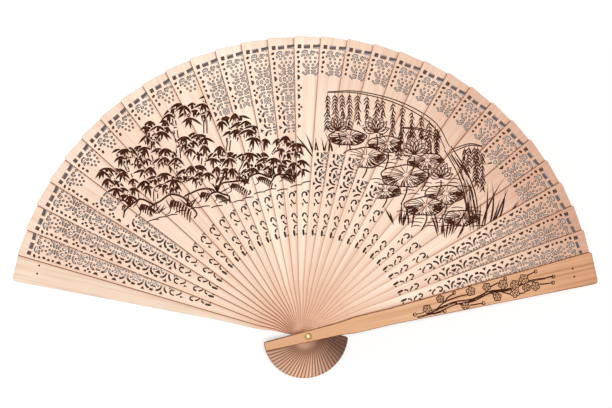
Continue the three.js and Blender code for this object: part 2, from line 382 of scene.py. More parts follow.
@dataclass(frozen=True)
class FanFrame:
    """The poses of all leaves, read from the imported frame."""

    back: LeafPose
    sticks: tuple[LeafPose, ...]
    front: LeafPose
    step: float

    @classmethod
    def read(cls, packed: dict) -> "FanFrame":
        """Take each leaf's turn from the fold's range and its share of it.


        Returns:
            The poses, in order from the back guard to the front one.
        """
        record = packed["record"]
        rest = next(m for m in record["mounts"] if m["name"] == "back_guard_rest")["pos_m"]
        start = math.atan2(rest[1], rest[0])
        fold = next(j for j in packed["joints"] if j["name"] == "fan_fold")
        swing = math.radians(fold["range_deg"][1])
        shares = {c["joint"].removesuffix("_turn"): c["ratio"] for c in record["behaviour"]["couplings"]}
        names = sorted(shares)
        sticks = tuple(cls.pose(name, start - shares[name] * swing) for name in names)
        return cls(
            back=cls.pose("back_guard", start),
            sticks=sticks,
            front=cls.pose("front_guard", start - swing),
            step=sticks[0].turn - sticks[1].turn,
        )

    @staticmethod
    def pose(node: str, turn: float) -> LeafPose:
        """Pose of one leaf, with its heights from its CAD node."""
        low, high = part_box(node)
        return LeafPose(node, turn, low.z / MM, (high.z - low.z) / MM)


def rounded(before: Point, at: Point, after: Point) -> Array:
    """Corner as an arc of a parabola: (1 - s)^2 before + 2 s (1 - s) at + s^2 after."""
    s = np.linspace(0, 1, 5)[:, None]
    a, b, c = (np.asarray(p, float) for p in (before, at, after))
    return (1 - s) ** 2 * a + 2 * s * (1 - s) * b + s ** 2 * c


@dataclass(frozen=True)
class LeafShape:
    """Sizes of a leaf in millimetres, with radii from the rivet.

    The neck, the shoulder and any points of the flare beyond it are pairs of a radius and a width.
    The right tip corner is less far out by the slant.
    """

    tip: float = 178.0
    tip_width: float = 20.0
    slant: float = 0.8
    tip_round: float = 1.2
    flare: tuple[Point, ...] = ()
    shoulder: Point = (32.0, 10.3)
    neck: Point = (16.0, 7.8)
    head: float = 26.6
    head_width: float = 6.8
    head_round: float = 1.6
    pivot: float = 1.65

    def outline(self) -> Array:
        """Outline along u: rounded head, neck, shoulder, flare and rounded tip.

        The neck widens to the shoulder along half a cosine wave, and each corner is an arc of a parabola.

        Returns:
            The corners, counter-clockwise.
        """
        t = np.linspace(0, 1, 9)
        swell = self.neck[1] + (self.shoulder[1] - self.neck[1]) * (1 - np.cos(math.pi * t)) / 2
        radii = self.neck[0] + (self.shoulder[0] - self.neck[0]) * t
        more = np.array(self.flare, float).reshape(-1, 2)
        flank = np.vstack([np.stack([radii, swell / 2], axis=1), more * (1, 0.5)])
        half = self.tip_width / 2
        wide = self.head_width / 2
        left, right, tip_round = self.tip, self.tip - self.slant, self.tip_round
        end, head_round = -self.head, self.head_round
        return np.vstack([
            flank * (1, -1),
            rounded((right - tip_round, -half), (right, -half), (right, tip_round - half)),
            rounded((left, half - tip_round), (left, half), (left - tip_round, half)),
            flank[::-1],
            rounded((end + head_round, wide), (end, wide), (end, wide - head_round)),
            rounded((end, head_round - wide), (end, -wide), (end + head_round, -wide)),
        ])


@dataclass
class Plate:
    """A flat leaf with openings: closed caps and edges that follow a profile of insets and heights.

    Attributes:
        outline: counter-clockwise outline.
        holes: clockwise openings.
        profile: inset and height of each ring of the outline, from the upper face down to the lower one.
        rims: the same for the openings, with as many rings.
        browned: width of each opening's upper rim, or None where the first ring's inset is that.
    """

    outline: Array
    holes: list[Array]
    profile: tuple[Point, ...]
    rims: tuple[Point, ...]
    browned: Array | None = None

    def mesh(self) -> tuple[Array, Array, Array, Array]:
        """Rings for every loop, walls between them and triangles over both faces.

        Returns:
            Leaf points, cap triangles, the outline's wall quads and the openings' wall quads.
        """
        loops = [self.outline, *self.holes]
        counts = [len(loop) for loop in loops]
        starts = np.concatenate([[0], np.cumsum(counts)[:-1]])
        total = sum(counts)
        after = np.concatenate([s + np.roll(np.arange(n), -1) for s, n in zip(starts, counts)])
        rings = []
        for level, (edge, rim) in enumerate(zip(self.profile, self.rims)):
            levels = [edge, *[rim] * len(self.holes)]
            if level == 0 and self.browned is not None:
                levels = [edge, *[(width, rim[1]) for width in self.browned]]
            rings.append(np.vstack([
                np.column_stack([inset(loop, distance), np.full(len(loop), height)])
                for loop, (distance, height) in zip(loops, levels)
            ]))
        here = np.arange(total)
        firsts = total * np.arange(1, len(rings))
        walls = np.stack([ring_walls(here + first, after + first, -total) for first in firsts])
        upper = self.cap(rings[0][:, :2], after)
        lower = self.cap(rings[-1][:, :2], after)[:, ::-1] + (len(rings) - 1) * total
        edge_walls = walls[:, :counts[0]].reshape(-1, 4)
        rim_walls = walls[:, counts[0]:].reshape(-1, 4)
        return np.vstack(rings), np.vstack([upper, lower]), edge_walls, rim_walls

    @staticmethod
    def cap(flat: Array, after: Array) -> Array:
        """Triangles between the loops: a Delaunay net, less what lies in a hole or outside.

        Args:
            flat: the loops' points.
            after: each point's follower on its loop.

        Returns:
            Triangles with their normal up.
        """
        edges = np.stack([np.arange(len(flat)), after], axis=1)
        found = delaunay_2d_cdt([Vector(p) for p in flat.tolist()], edges.tolist(), [], 0, WELD)
        origin = np.array([ids[0] if ids else 0 for ids in found[3]])
        triangles = origin[np.array(found[2])]
        a, b, c = (flat[triangles[:, k]] for k in range(3))
        middle = (a + b + c) / 3
        p = flat[edges[:, 0]]
        q = flat[edges[:, 1]]
        straddles = (p[None, :, 1] > middle[:, None, 1]) != (q[None, :, 1] > middle[:, None, 1])
        rise = np.where(q[:, 1] == p[:, 1], 1.0, q[:, 1] - p[:, 1])
        cross = p[:, 0] + (middle[:, None, 1] - p[None, :, 1]) * ((q[:, 0] - p[:, 0]) / rise)[None, :]
        inside = np.sum(straddles & (cross > middle[:, None, 0]), axis=1) % 2 == 1
        area = (b[:, 0] - a[:, 0]) * (c[:, 1] - a[:, 1]) - (b[:, 1] - a[:, 1]) * (c[:, 0] - a[:, 0])
        triangles[area < 0] = triangles[area < 0][:, ::-1]
        return triangles[inside & (np.abs(area) > TINY)]


def make_piece(
    name: str,
    points: Array,
    faces: Sequence[Array],
    finishes: Sequence[bpy.types.Material],
    leaf: Array | None = None,
    grain: Colour = (0.0, 1.0, 0.0),
    curved: bool = False,
) -> bpy.types.Object:
    """A mesh object at the origin, with one finish for each array of faces.

    Args:
        name: the piece's name.
        points: vertices in metres.
        faces: arrays of triangles or quads.
        finishes: the finish of each array.
        leaf: leaf coordinates of the vertices, kept as an attribute for the finishes.
        grain: the wood's seed, its tone and the leaf's place in the fan from 0 to 1, kept as an attribute.
        curved: whether its faces are shaded as one smooth surface.

    Returns:
        The new object.
    """
    mesh = bpy.data.meshes.new(name)
    mesh.from_pydata(points.tolist(), [], [face for block in faces for face in block.tolist()])
    for finish in finishes:
        mesh.materials.append(finish)
    marks = np.concatenate([np.full(len(block), k) for k, block in enumerate(faces)])
    mesh.polygons.foreach_set("material_index", marks.astype(np.int32))
    mesh.polygons.foreach_set("use_smooth", np.full(len(marks), curved))
    if leaf is not None:
        mesh.attributes.new("leaf", "FLOAT_VECTOR", "POINT").data.foreach_set("vector", leaf.ravel())
        shades = np.tile(np.asarray(grain, float), len(points))
        mesh.attributes.new("grain", "FLOAT_VECTOR", "POINT").data.foreach_set("vector", shades)
    mesh.update()
    piece = bpy.data.objects.new(name, mesh)
    bpy.context.scene.collection.objects.link(piece)
    LOG.info("%s: %d points, %d faces", name, len(points), len(marks))
    return piece


# Finishes


class Value:
    """A number that nodes work out at each place of a surface, with the usual signs for its arithmetic."""

    def __init__(self, shader: "Shader", socket: Socket) -> None:
        """Keep the node output that carries the number."""
        self.shader = shader
        self.socket = socket

    def __add__(self, other: "Value | float") -> "Value":
        """Sum."""
        return self.shader.math("ADD", self, other)

    def __sub__(self, other: "Value | float") -> "Value":
        """Difference."""
        return self.shader.math("SUBTRACT", self, other)

    def __rsub__(self, other: float) -> "Value":
        """Difference from a plain number."""
        return self.shader.math("SUBTRACT", other, self)

    def __mul__(self, other: "Value | float") -> "Value":
        """Product."""
        return self.shader.math("MULTIPLY", self, other)

    def __pow__(self, power: float) -> "Value":
        """Power."""
        return self.shader.math("POWER", self, power)

    def at_least(self, other: "Value | float") -> "Value":
        """The greater of two values."""
        return self.shader.math("MAXIMUM", self, other)

    def at_most(self, other: "Value | float") -> "Value":
        """The lesser of two values."""
        return self.shader.math("MINIMUM", self, other)

    def between(self, low: float, high: float) -> "Value":
        """Smooth step from 0 at low to 1 at high."""
        node = self.shader.node("MapRange", Value=self, From_Min=low, From_Max=high)
        node.interpolation_type = "SMOOTHSTEP"
        return Value(self.shader, node.outputs["Result"])


Number = Value | float
Place = tuple[Number, Number, Number]
Tint = Colour | Socket


class Shader:
    """A material's node tree, with short calls for the nodes that the finishes use."""

    def __init__(self, name: str) -> None:
        """Start a material with one Principled shader."""
        self.material = bpy.data.materials.new(name)
        self.material.use_nodes = True
        self.tree = self.material.node_tree
        self.surface = self.tree.nodes["Principled BSDF"]

    def feed(self, socket: Socket, value: object) -> None:
        """Link a socket to another node's output, or set it to a constant."""
        source = value.socket if isinstance(value, Value) else value
        if isinstance(source, Socket):
            self.tree.links.new(source, socket)
        elif isinstance(source, tuple) and len(source) == 3 and socket.type == "RGBA":
            socket.default_value = (*source, 1.0)
        else:
            socket.default_value = source

    def node(self, kind: str, *values: object, **named: object) -> bpy.types.Node:
        """A new node with its inputs fed.

        Args:
            kind: the node's type, without its prefix.
            values: its first inputs, in order.
            named: inputs by name, with underscores for the spaces in their names.

        Returns:
            The node.
        """
        node = self.tree.nodes.new(f"ShaderNode{kind}")
        for socket, value in zip(node.inputs, values):
            self.feed(socket, value)
        for name, value in named.items():
            self.feed(node.inputs[name.replace("_", " ")], value)
        return node

    def parts(self, vector: Socket) -> tuple[Value, Value, Value]:
        """The three parts of a vector."""
        x, y, z = self.node("SeparateXYZ", vector).outputs
        return Value(self, x), Value(self, y), Value(self, z)

    def attribute(self, name: str) -> tuple[Value, Value, Value]:
        """The three parts of one of the piece's own attributes."""
        node = self.node("Attribute")
        node.attribute_name = name
        return self.parts(node.outputs["Vector"])

    def place(self) -> tuple[Value, Value, Value]:
        """Object coordinates."""
        return self.parts(self.node("TexCoord").outputs["Object"])

    def vector(self, values: Place) -> Socket:
        """A vector of three values."""
        return self.node("CombineXYZ", *values).outputs[0]

    def math(self, operation: str, *values: Number) -> Value:
        """The result of a math node."""
        node = self.node("Math", *values)
        node.operation = operation
        return Value(self, node.outputs[0])

    def noise(self, place: Place, scale: float, detail: float) -> Value:
        """Noise about 0.5 at a place."""
        node = self.node("TexNoise", Vector=self.vector(place), Scale=scale, Detail=detail)
        return Value(self, node.outputs["Fac"])

    def mix(self, share: Number, first: Tint, second: Tint, blend: str = "MIX") -> Socket:
        """Blend of two colours."""
        node = self.node("Mix")
        node.data_type = "RGBA"
        node.blend_type = blend
        for slot, value in ((0, share), (6, first), (7, second)):
            self.feed(node.inputs[slot], value)
        return node.outputs[2]

    def relief(self, height: Number, strength: float, distance: float) -> None:
        """Bump on the surface from a height."""
        bump = self.node("Bump", Strength=strength, Distance=distance, Height=height)
        self.feed(self.surface.inputs["Normal"], bump.outputs[0])

    def gloss(self, **values: object) -> None:
        """Set the shader's own sockets, with underscores for the spaces in their names."""
        for name, value in values.items():
            self.feed(self.surface.inputs[name.replace("_", " ")], value)


@dataclass(frozen=True)
class Cover:
    """Where the next leaf lies over a leaf: its half width along u, turned by one step.

    The half width is the neck's, plus a smooth swell to the shoulder, plus the flare beyond it,
    less the taper behind the neck.
    """

    step: float
    neck: Point
    shoulder: Point
    flare: float
    taper: float

    def past(self, u: Value, v: Value) -> tuple[Value, Value]:
        """How far a place lies under the next leaf, ahead of the rivet and behind it.

        Args:
            u: place along the leaf.
            v: place to its left.

        Returns:
            Both distances in millimetres, below 0 where the place shows.
        """
        swell = u.between(self.neck[0], self.shoulder[0]) * ((self.shoulder[1] - self.neck[1]) / 2)
        beyond = (u - self.shoulder[0]).at_least(0.0) * self.flare
        behind = (self.neck[0] - u).at_least(0.0) * self.taper
        half = swell + self.neck[1] / 2 + beyond - behind
        turned = u * self.step
        return half - turned - v, half + turned + v


@dataclass(frozen=True)
class WoodFinish:
    """Thin sawn wood: fibres and streaks along the leaf, browner near the rivet, and painted shade beside
    and under the next leaf and on the heads.

    Attributes:
        name: the material's name.
        light: colour of the pale wood.
        dark: colour of its streaks.
        handled: colour near the rivet.
        handled_to: radius where that colour is gone, in millimetres.
        streak: share of the streaks.
        roughness: of the surface.
        shadow_band: colour of the painted shadow, a dull band beside the next leaf's edge.
        contact_shadow: colour of the painted contact shadow, a dark line at that edge.
        shaded: colour that the heads darken to.
        shade_under_tips: colour of the painted shade on the wood under the next leaf, where its openings
            show it near the tips.
        shade_under: the same further in.
        top: height of the leaf's upper face over its lower one, in millimetres.
        cover: where the next leaf lies, or None.
    """

    name: str
    light: Colour
    dark: Colour
    handled: Colour
    handled_to: float
    streak: float
    roughness: float
    shadow_band: Colour = (0.0, 0.0, 0.0)
    contact_shadow: Colour = (0.0, 0.0, 0.0)
    shaded: Colour = (0.0, 0.0, 0.0)
    shade_under_tips: Colour = (0.0, 0.0, 0.0)
    shade_under: Colour = (0.0, 0.0, 0.0)
    top: float = 0.45
    cover: Cover | None = None

    def material(self) -> bpy.types.Material:
        """Streaks are noise stretched along the leaf, and each leaf has its own seed and tone."""
        shader = Shader(self.name)
        u, v, w = shader.attribute("leaf")
        seed, tone, turn = shader.attribute("grain")
        bent = v + shader.noise((u * 0.02, 0.0, seed), 1.0, 1.0) * 3.0
        streaks = shader.noise((u * 0.012, bent * 0.55, seed), 1.0, 5.0).between(0.38, 0.72)
        fibres = shader.noise((u * 0.11, v * 2.6, seed), 1.0, 3.0)
        cloud = shader.noise((u, v, seed), 0.05, 2.0)
        colour = shader.mix(streaks * self.streak, self.light, self.dark)
        colour = shader.mix(fibres.between(0.5, 0.85), colour, shader.mix(0.3, colour, self.dark))
        near = u.between(self.handled_to, self.handled_to * 0.2)
        colour = shader.mix(near * 0.85, colour, self.handled)
        # Painted shade: the later leaves darker and pinker towards their tips, where the light falls off.
        tip_shade = turn.between(0.42, 1.02) * u.between(95.0, 190.0)
        shade = (tone - tip_shade * 0.34) * (cloud * 0.12 + 0.94)
        tint = shader.vector((shade, shade ** 1.85, shade ** 2.2))
        colour = shader.mix(1.0, colour, tint, "MULTIPLY")
        if self.cover is not None:
            ahead, behind = self.cover.past(u, v)
            face = w.between(self.top - 0.1, self.top - 0.04)
            colour = shader.mix(face, colour, self.shadow_lines(shader, colour, u, turn, (ahead, behind)))
            colour = self.heads(shader, colour, u, turn)
            # Painted shade on the upper face under the next leaf, seen through its openings: darker further
            # in.
            under = ahead.between(0.2, 0.5) * face * u.between(54.0, 57.0)
            colour = shader.mix(under, colour, shader.mix(u.between(100.0, 140.0), self.shade_under, self.shade_under_tips))
        shader.gloss(Base_Color=colour, Roughness=self.roughness, Specular_IOR_Level=0.25)
        shader.relief(fibres, 0.25, 0.00006)
        return shader.material

    def shadow_lines(
        self, shader: Shader, colour: Tint, u: Value, turn: Value, under: tuple[Value, Value],
    ) -> Socket:
        """Add painted shade beside the next leaf's edges: a dull band of painted shadow, and a dark line of
        painted contact shadow.

        The line is strongest on the first leaves, and near the tips on the first and the last ones.

        Args:
            shader: where the nodes go.
            colour: of the bare wood.
            u: place along the leaf.
            turn: the leaf's place in the fan, from 0 to 1.
            under: distances under the next leaf, ahead of the rivet and behind it.

        Returns:
            The darkened colour.
        """
        ahead, behind = under
        # Painted shadow: a dull band on the wood beside the next leaf's edge.
        band = ahead.between(-2.6, 0.2) * u.between(20.0, 60.0)
        colour = shader.mix(band * 0.45, colour, self.shadow_band)
        first = (1.0 - turn) ** 2.0
        inner = (first * 1.2).at_most(0.9)
        outer = turn.between(0.55, 0.8) * 0.55 + first * 0.85 + 0.35
        fade = u.between(60.0, 140.0) * (outer - inner) + inner + turn.between(0.97, 1.0) * 0.3
        # Painted contact shadow: a dark line beside the next leaf's edge, and under it.
        line = ahead.between(-0.85, -0.25) * u.between(4.0, 11.0)
        colour = shader.mix(line * fade, colour, self.contact_shadow)
        # Painted contact shadow: a dark stripe on the head beside the next leaf's head.
        stripe = behind.between(-1.3, -0.3) * u.between(-5.0, -11.0)
        return shader.mix(stripe * 0.9, colour, self.contact_shadow)

    def heads(self, shader: Shader, colour: Tint, u: Value, turn: Value) -> Socket:
        """Paint shade on the first and the last leaves' heads, which lie in the shade of the guard and the
        higher leaves, and on all heads beside the rivet.

        Args:
            shader: where the nodes go.
            colour: of the wood so far.
            u: place along the leaf.
            turn: the leaf's place in the fan, from 0 to 1.

        Returns:
            The darkened colour.
        """
        # Painted shade on the lowest heads and under the front guard's edge.
        low = (1.25 - turn * 2.4).at_least(0.0) + turn.between(0.62, 1.02) * 0.3
        colour = shader.mix(u.between(8.0, -10.0) * low.at_most(0.95), colour, self.shaded)
        # Painted shade on all heads just behind the rivet, under the guard.
        core = (0.55 - turn.between(0.5, 0.9) * 0.4) * u.between(-15.0, -6.0) * u.between(1.0, -3.0)
        return shader.mix(core, colour, self.shaded)


@dataclass(frozen=True)
class EdgeFinish:
    """Cut edge, browned by the cutter, patchy along its length."""

    name: str
    pale: Colour
    burnt: Colour

    def material(self) -> bpy.types.Material:
        """Noise in leaf coordinates mixes the two browns."""
        shader = Shader(self.name)
        patches = shader.noise(shader.attribute("leaf"), 0.6, 3.0).between(0.35, 0.65)
        colour = shader.mix(patches, self.burnt, self.pale)
        shader.gloss(Base_Color=colour, Roughness=0.85, Specular_IOR_Level=0.1)
        return shader.material


@dataclass(frozen=True)
class BrassFinish:
    """Turned brass, dulled in fine scratches, and brown at the foot of its dome: patina, and painted shade
    where the dome meets the guard.
    """

    name: str
    colour: Colour
    dull: Colour
    brown: Colour
    foot: float
    crest: float

    def material(self) -> bpy.types.Material:
        """Fine noise on the piece drives both its colour and its roughness."""
        shader = Shader(self.name)
        place = shader.place()
        fine = shader.noise(place, 2600.0, 4.0)
        blotch = shader.noise(place, 600.0, 2.0).between(0.4, 0.75)
        rough = fine * 0.2 + 0.26
        # Browner towards the dome's foot: patina and painted shade.
        worn = place[2].between(self.foot, self.crest)
        colour = shader.mix(worn, self.brown, shader.mix(blotch, self.colour, self.dull))
        shader.gloss(Base_Color=colour, Roughness=rough, Metallic=0.75)
        shader.relief(fine, 0.1, 0.00003)
        return shader.material


@dataclass(frozen=True)
class RibbonFinish:
    """Narrow woven ribbon: crossing threads, a little sheen."""

    name: str
    colour: Colour
    shade: Colour

    def material(self) -> bpy.types.Material:
        """Threads are the product of two sine waves in leaf coordinates."""
        shader = Shader(self.name)
        u, v, _ = shader.attribute("leaf")
        warp = shader.math("SINE", u * 26.0)
        weft = shader.math("SINE", v * 21.0)
        threads = (warp * weft).between(-1.0, 1.0)
        colour = shader.mix(threads, self.shade, self.colour)
        shader.gloss(Base_Color=colour, Roughness=0.7, Sheen_Weight=0.2)
        shader.relief(threads, 0.4, 0.00004)
        return shader.material


@dataclass(frozen=True)
class InkFinish:
    """Burnt line drawn with a hot pen: dark brown, uneven."""

    name: str
    dark: Colour
    worn: Colour

    def material(self) -> bpy.types.Material:
        """Noise in leaf coordinates thins the brown here and there."""
        shader = Shader(self.name)
        worn = shader.noise(shader.attribute("leaf"), 0.9, 4.0).between(0.5, 0.8)
        colour = shader.mix(worn, self.dark, self.worn)
        shader.gloss(Base_Color=colour, Roughness=0.85, Specular_IOR_Level=0.05)
        return shader.material


# Sticks


@dataclass(frozen=True)
class StickShape(LeafShape):
    """Sizes of a stick in millimetres, its step from the next in radians, and its lattice.

    Openings have a browned rim, as wide as rim says at the radii in rim_at. One that lies wholly under the
    next stick, by more than the overhang, is left out. Each stick is bare for the drawing from one radius
    to another, but for the island on one stick and the marks down the left edge of two.
    """

    step: float = field(kw_only=True)
    slot_radius: float = 172.0
    slot_height: float = 2.2
    slot_spans: tuple[Point, ...] = ((2.0, 4.1), (5.7, 9.3), (11.2, 15.4))
    crown_radius: float = 163.9
    frame_radius: float = 153.1
    frame_pitch: float = 11.4
    upper_scroll: float = 81.5
    lower_scroll: float = 66.5
    edge_chamfer: float = 0.12
    rim_at: tuple[float, ...] = (78.0, 110.0, 150.0, 168.5, 171.5)
    rim: tuple[float, ...] = (0.22, 0.25, 0.32, 0.32, 0.1)
    narrowed: float = 0.04
    overhang: float = 0.3
    bare_from: tuple[float, ...] = (
        0, 0, 0, 125.5, 87, 87, 87, 87, 87, 87, 87, 87, 87, 87, 87,
        110, 110, 110, 99, 99, 87, 74, 74, 87, 87, 87, 0, 0, 0)
    bare_to: tuple[float, ...] = (
        0, 0, 0, 161, 161, 161, 161, 161, 161, 161, 139.8, 141.2, 120.5, 120.5, 155.4,
        155.4, 155.4, 155.4, 155.4, 155.4, 155.4, 155.4, 155.4, 152, 152, 152, 0, 0, 0)
    island: tuple[int, float, float] = (4, 134.5, 147.8)
    edge_marks: tuple[int, ...] = (4, 15)
    marks_from: Point = (124.0, 4.4)

    def left_edge(self, radius: Array | float) -> Array | float:
        """Half width at a radius on the straight flare."""
        start, width = self.shoulder
        return width / 2 + (self.tip_width - width) / 2 * (radius - start) / (self.tip - start)

    def covered_line(self) -> Point:
        """Slope and start of the line v + slope u = start where the next stick's edge lies."""
        return (self.step - self.left_edge(1.0) + self.left_edge(0.0), self.left_edge(0.0))

    def cover(self) -> Cover:
        """Where the next stick lies over a stick."""
        flare = float(self.left_edge(1.0) - self.left_edge(0.0))
        taper = (self.neck[1] - self.head_width) / 2 / (self.neck[0] + self.head)
        return Cover(self.step, self.neck, self.shoulder, flare, taper)

    def set_in(self, openings: Iterable[Opening], radius: float, side: Side) -> list[Array]:
        """Openings placed on the stick.

        Args:
            openings: what to cut.
            radius: where their y is 0.
            side: what their x is measured from.

        Returns:
            Clockwise loops in leaf coordinates.
        """
        loops = []
        for item in openings:
            x, y = item.loop().T
            u = radius + y
            v = self.left_edge(u) - x if side is Side.LEFT else -x
            loops.append(clockwise(np.stack([u, v], axis=1)))
        return loops

    def lattice(self) -> list[Array]:
        """The whole lattice: crown, a frame of ovals, three with stars, two with crosses, and scrolls."""
        star = opposite(STAR_HALF)
        cross = [*opposite(CROSS_HALF), *both_sides(CROSS_SIDE)]
        loops = self.set_in([*CROWN, *both_sides(CROWN_FOOT)], self.crown_radius, Side.MIDDLE)
        loops += self.set_in(CROWN_EDGE, self.crown_radius, Side.LEFT)
        for row in range(6):
            radius = self.frame_radius - row * self.frame_pitch
            if row == 0:
                inner = [*both_ways(OVAL_QUARTER), *opposite(OVAL_HALF)]
            else:
                inner = [*both_ways(RING_QUARTER), *(star if row < 4 else cross)]
            if row == 5:
                inner += both_sides(LAST_ARC)
            loops += self.set_in(inner, radius, Side.MIDDLE)
            loops += self.set_in(RING_LENS, radius, Side.LEFT) if row < 4 else []
            loops += self.set_in(RING_BEADS if row < 2 else RING_WEDGE, radius, Side.LEFT)
        loops += self.set_in(UPPER_SCROLL, self.upper_scroll, Side.MIDDLE)
        loops += self.set_in(LOWER_SCROLL, self.lower_scroll, Side.MIDDLE)
        slope, start = self.covered_line()
        shown = [loop for loop in loops if (loop @ (slope, 1.0)).max() > start - self.overhang]
        return [inset(loop, -self.narrowed) for loop in shown]

    def pierced(self, index: int, radius: Array) -> Array:
        """Whether a stick is pierced at each radius, rather than left bare for the drawing."""
        low = self.bare_from[index - 1]
        high = self.bare_to[index - 1]
        number, first, last = self.island
        on_island = (radius > first) & (radius < last) & (index == number)
        return (radius <= low) | (radius >= high) | on_island

    def holes(self, index: int) -> list[Array]:
        """All openings of one stick.

        Args:
            index: the stick's number, from 1 at the back guard.

        Returns:
            Clockwise loops in leaf coordinates.
        """
        pivot = Dot(0.0, 0.0, self.pivot, self.pivot, corners=28)
        loops = [clockwise(pivot.loop())]
        edge = self.left_edge(self.slot_radius)
        tall = self.slot_height / 2
        for start, end in self.slot_spans:
            box = np.array([(-tall, start), (tall, start), (tall, end), (-tall, end)])
            loops.append(clockwise(np.stack([self.slot_radius + box[:, 0], edge - box[:, 1]], axis=1)))
        for loop in self.lattice():
            middle = loop.mean(axis=0)
            marked = index in self.edge_marks and np.all(middle > self.marks_from)
            if marked or self.pierced(index, middle[0]):
                loops.append(loop)
        return loops


@dataclass
class Sticks:
    """The 29 pierced sticks, with their mean tone and its spread.

    The palest ones are paler by the first number in pale, about the place in the fan that the second gives,
    within the third, and the first ones are dim.
    """

    shape: StickShape
    wood: bpy.types.Material
    edge: bpy.types.Material
    burnt: bpy.types.Material
    tone: Point = (1.01, 0.014)
    pale: tuple[float, float, float] = (0.045, 0.42, 0.15)
    dim: float = 0.04
    seeds: float = 40.0

    def build(self, poses: Sequence[LeafPose]) -> None:
        """Make every stick in its place and let it ride on its own body."""
        draw = np.random.default_rng(29)
        more, place, spread = self.pale
        for index, pose in enumerate(poses, start=1):
            chamfer = self.shape.edge_chamfer
            thick = pose.thickness
            profile = ((chamfer, thick), (0.0, thick - chamfer), (0.0, chamfer), (chamfer, 0.0))
            holes = self.shape.holes(index)
            browned = np.interp([loop[:, 0].mean() for loop in holes], self.shape.rim_at, self.shape.rim)
            plate = Plate(self.shape.outline(), holes, profile, profile, browned)
            leaf, caps, walls, openings = plate.mesh()
            turn = index / len(poses)
            pale = more * math.exp(-((turn - place) / spread) ** 2)
            tone = float(draw.normal(*self.tone)) + pale - self.dim * (1 - turn) ** 4
            grain = (float(draw.uniform(0, self.seeds)), tone, turn)
            piece = make_piece(
                f"wood_{pose.node}", pose.placed(leaf), (caps, walls, openings),
                (self.wood, self.edge, self.burnt), leaf, grain)
            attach(piece, pose.node)
            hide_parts(pose.node)


# Guards


@dataclass(frozen=True)
class GuardShape(LeafShape):
    """Sizes of a guard in millimetres."""

    tip_width: float = 19.8
    slant: float = 0.0
    tip_round: float = 2.2
    flare: tuple[Point, ...] = ((51.0, 9.8),)
    shoulder: Point = (32.0, 9.8)
    neck: Point = (16.0, 7.5)
    head_width: float = 5.5
    peg_radius: float = 0.5
    peg_spacing: float = 5.0
    peg_from_tip: float = 13.5
    plug_sunk: float = 0.35
    edge_round: float = 0.45
    rim: float = 0.12

    def half_width(self, radius: Array) -> Array:
        """Half width at each radius, on straight sides between the guard's stations."""
        stations = (self.neck, self.shoulder, *self.flare, (self.tip, self.tip_width))
        return np.interp(radius, [at for at, _ in stations], [width / 2 for _, width in stations])

    def holes(self) -> list[Array]:
        """The rivet's hole and two peg holes near the tip."""
        pegs = [
            Dot(self.tip - self.peg_from_tip, side * self.peg_spacing / 2, self.peg_radius, self.peg_radius)
            for side in (1, -1)
        ]
        pivot = Dot(0.0, 0.0, self.pivot, self.pivot, corners=32)
        return [clockwise(dot.loop()) for dot in (pivot, *pegs)]

    def rims(self, thick: float) -> tuple[Point, ...]:
        """Insets and heights of the openings' rings: sharp mouths, as many rings as the profile has."""
        heights = [height for _, height in self.profile(thick)]
        return ((self.rim, thick), *((0.0, height) for height in heights[1:-1]), (self.rim, 0.0))

    def pegs(self, thick: float) -> tuple[Array, Array]:
        """A dark plug in each peg hole, sunk at both ends, which paints the shade of the holes: a ring of
        corners at each end, walls and flat ends.

        Args:
            thick: the guard's thickness.

        Returns:
            Leaf points and faces, one row a face.
        """
        points = []
        quads = []
        for base, loop in enumerate(self.holes()[1:]):
            count = len(loop)
            first = 2 * count * base
            here = first + np.arange(count)
            after = first + np.roll(np.arange(count), -1)
            for height in (thick - self.plug_sunk, self.plug_sunk):
                points.append(np.column_stack([loop, np.full(count, height)]))
            turns = np.arange(1, count - 2, 2)[:, None]
            fan = first + np.hstack([0 * turns, turns + 2, turns + 1, turns])
            quads += [ring_walls(here, after, count), fan, fan[:, ::-1] + count]
        return np.vstack(points), np.vstack(quads)

    def profile(self, thick: float) -> tuple[Point, ...]:
        """Quarter rounds at both faces: insets and heights on a circle of the edge's radius."""
        turn = np.linspace(0, math.pi / 2, 5)
        inward = self.edge_round * (1 - np.sin(turn))
        upward = self.edge_round * (1 - np.cos(turn))
        upper = list(zip(inward.tolist(), (thick - upward).tolist()))
        lower = list(zip(inward[::-1].tolist(), upward[::-1].tolist()))
        return (*upper, *lower)


@dataclass
class Guard:
    """One of the two thick outer leaves."""

    shape: GuardShape
    wood: bpy.types.Material
    side: bpy.types.Material
    burnt: bpy.types.Material
    slot: str
    grain: tuple[float, float, float]

    def build(self, pose: LeafPose) -> None:
        """Make the guard in its place."""
        thick = pose.thickness
        plate = Plate(
            self.shape.outline(), self.shape.holes(), self.shape.profile(thick), self.shape.rims(thick))
        leaf, caps, walls, openings = plate.mesh()
        # Dark plugs in the peg holes: painted shade that keeps the holes dark.
        pegs, ends = self.shape.pegs(thick)
        ends = ends + len(leaf)
        leaf = np.vstack([leaf, pegs])
        piece = make_piece(
            f"wood_{pose.node}", pose.placed(leaf), (caps, walls, openings, ends),
            (self.wood, self.side, self.burnt, self.burnt), leaf, self.grain)
        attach(piece, pose.node)
        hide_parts(pose.node)


# Rivet


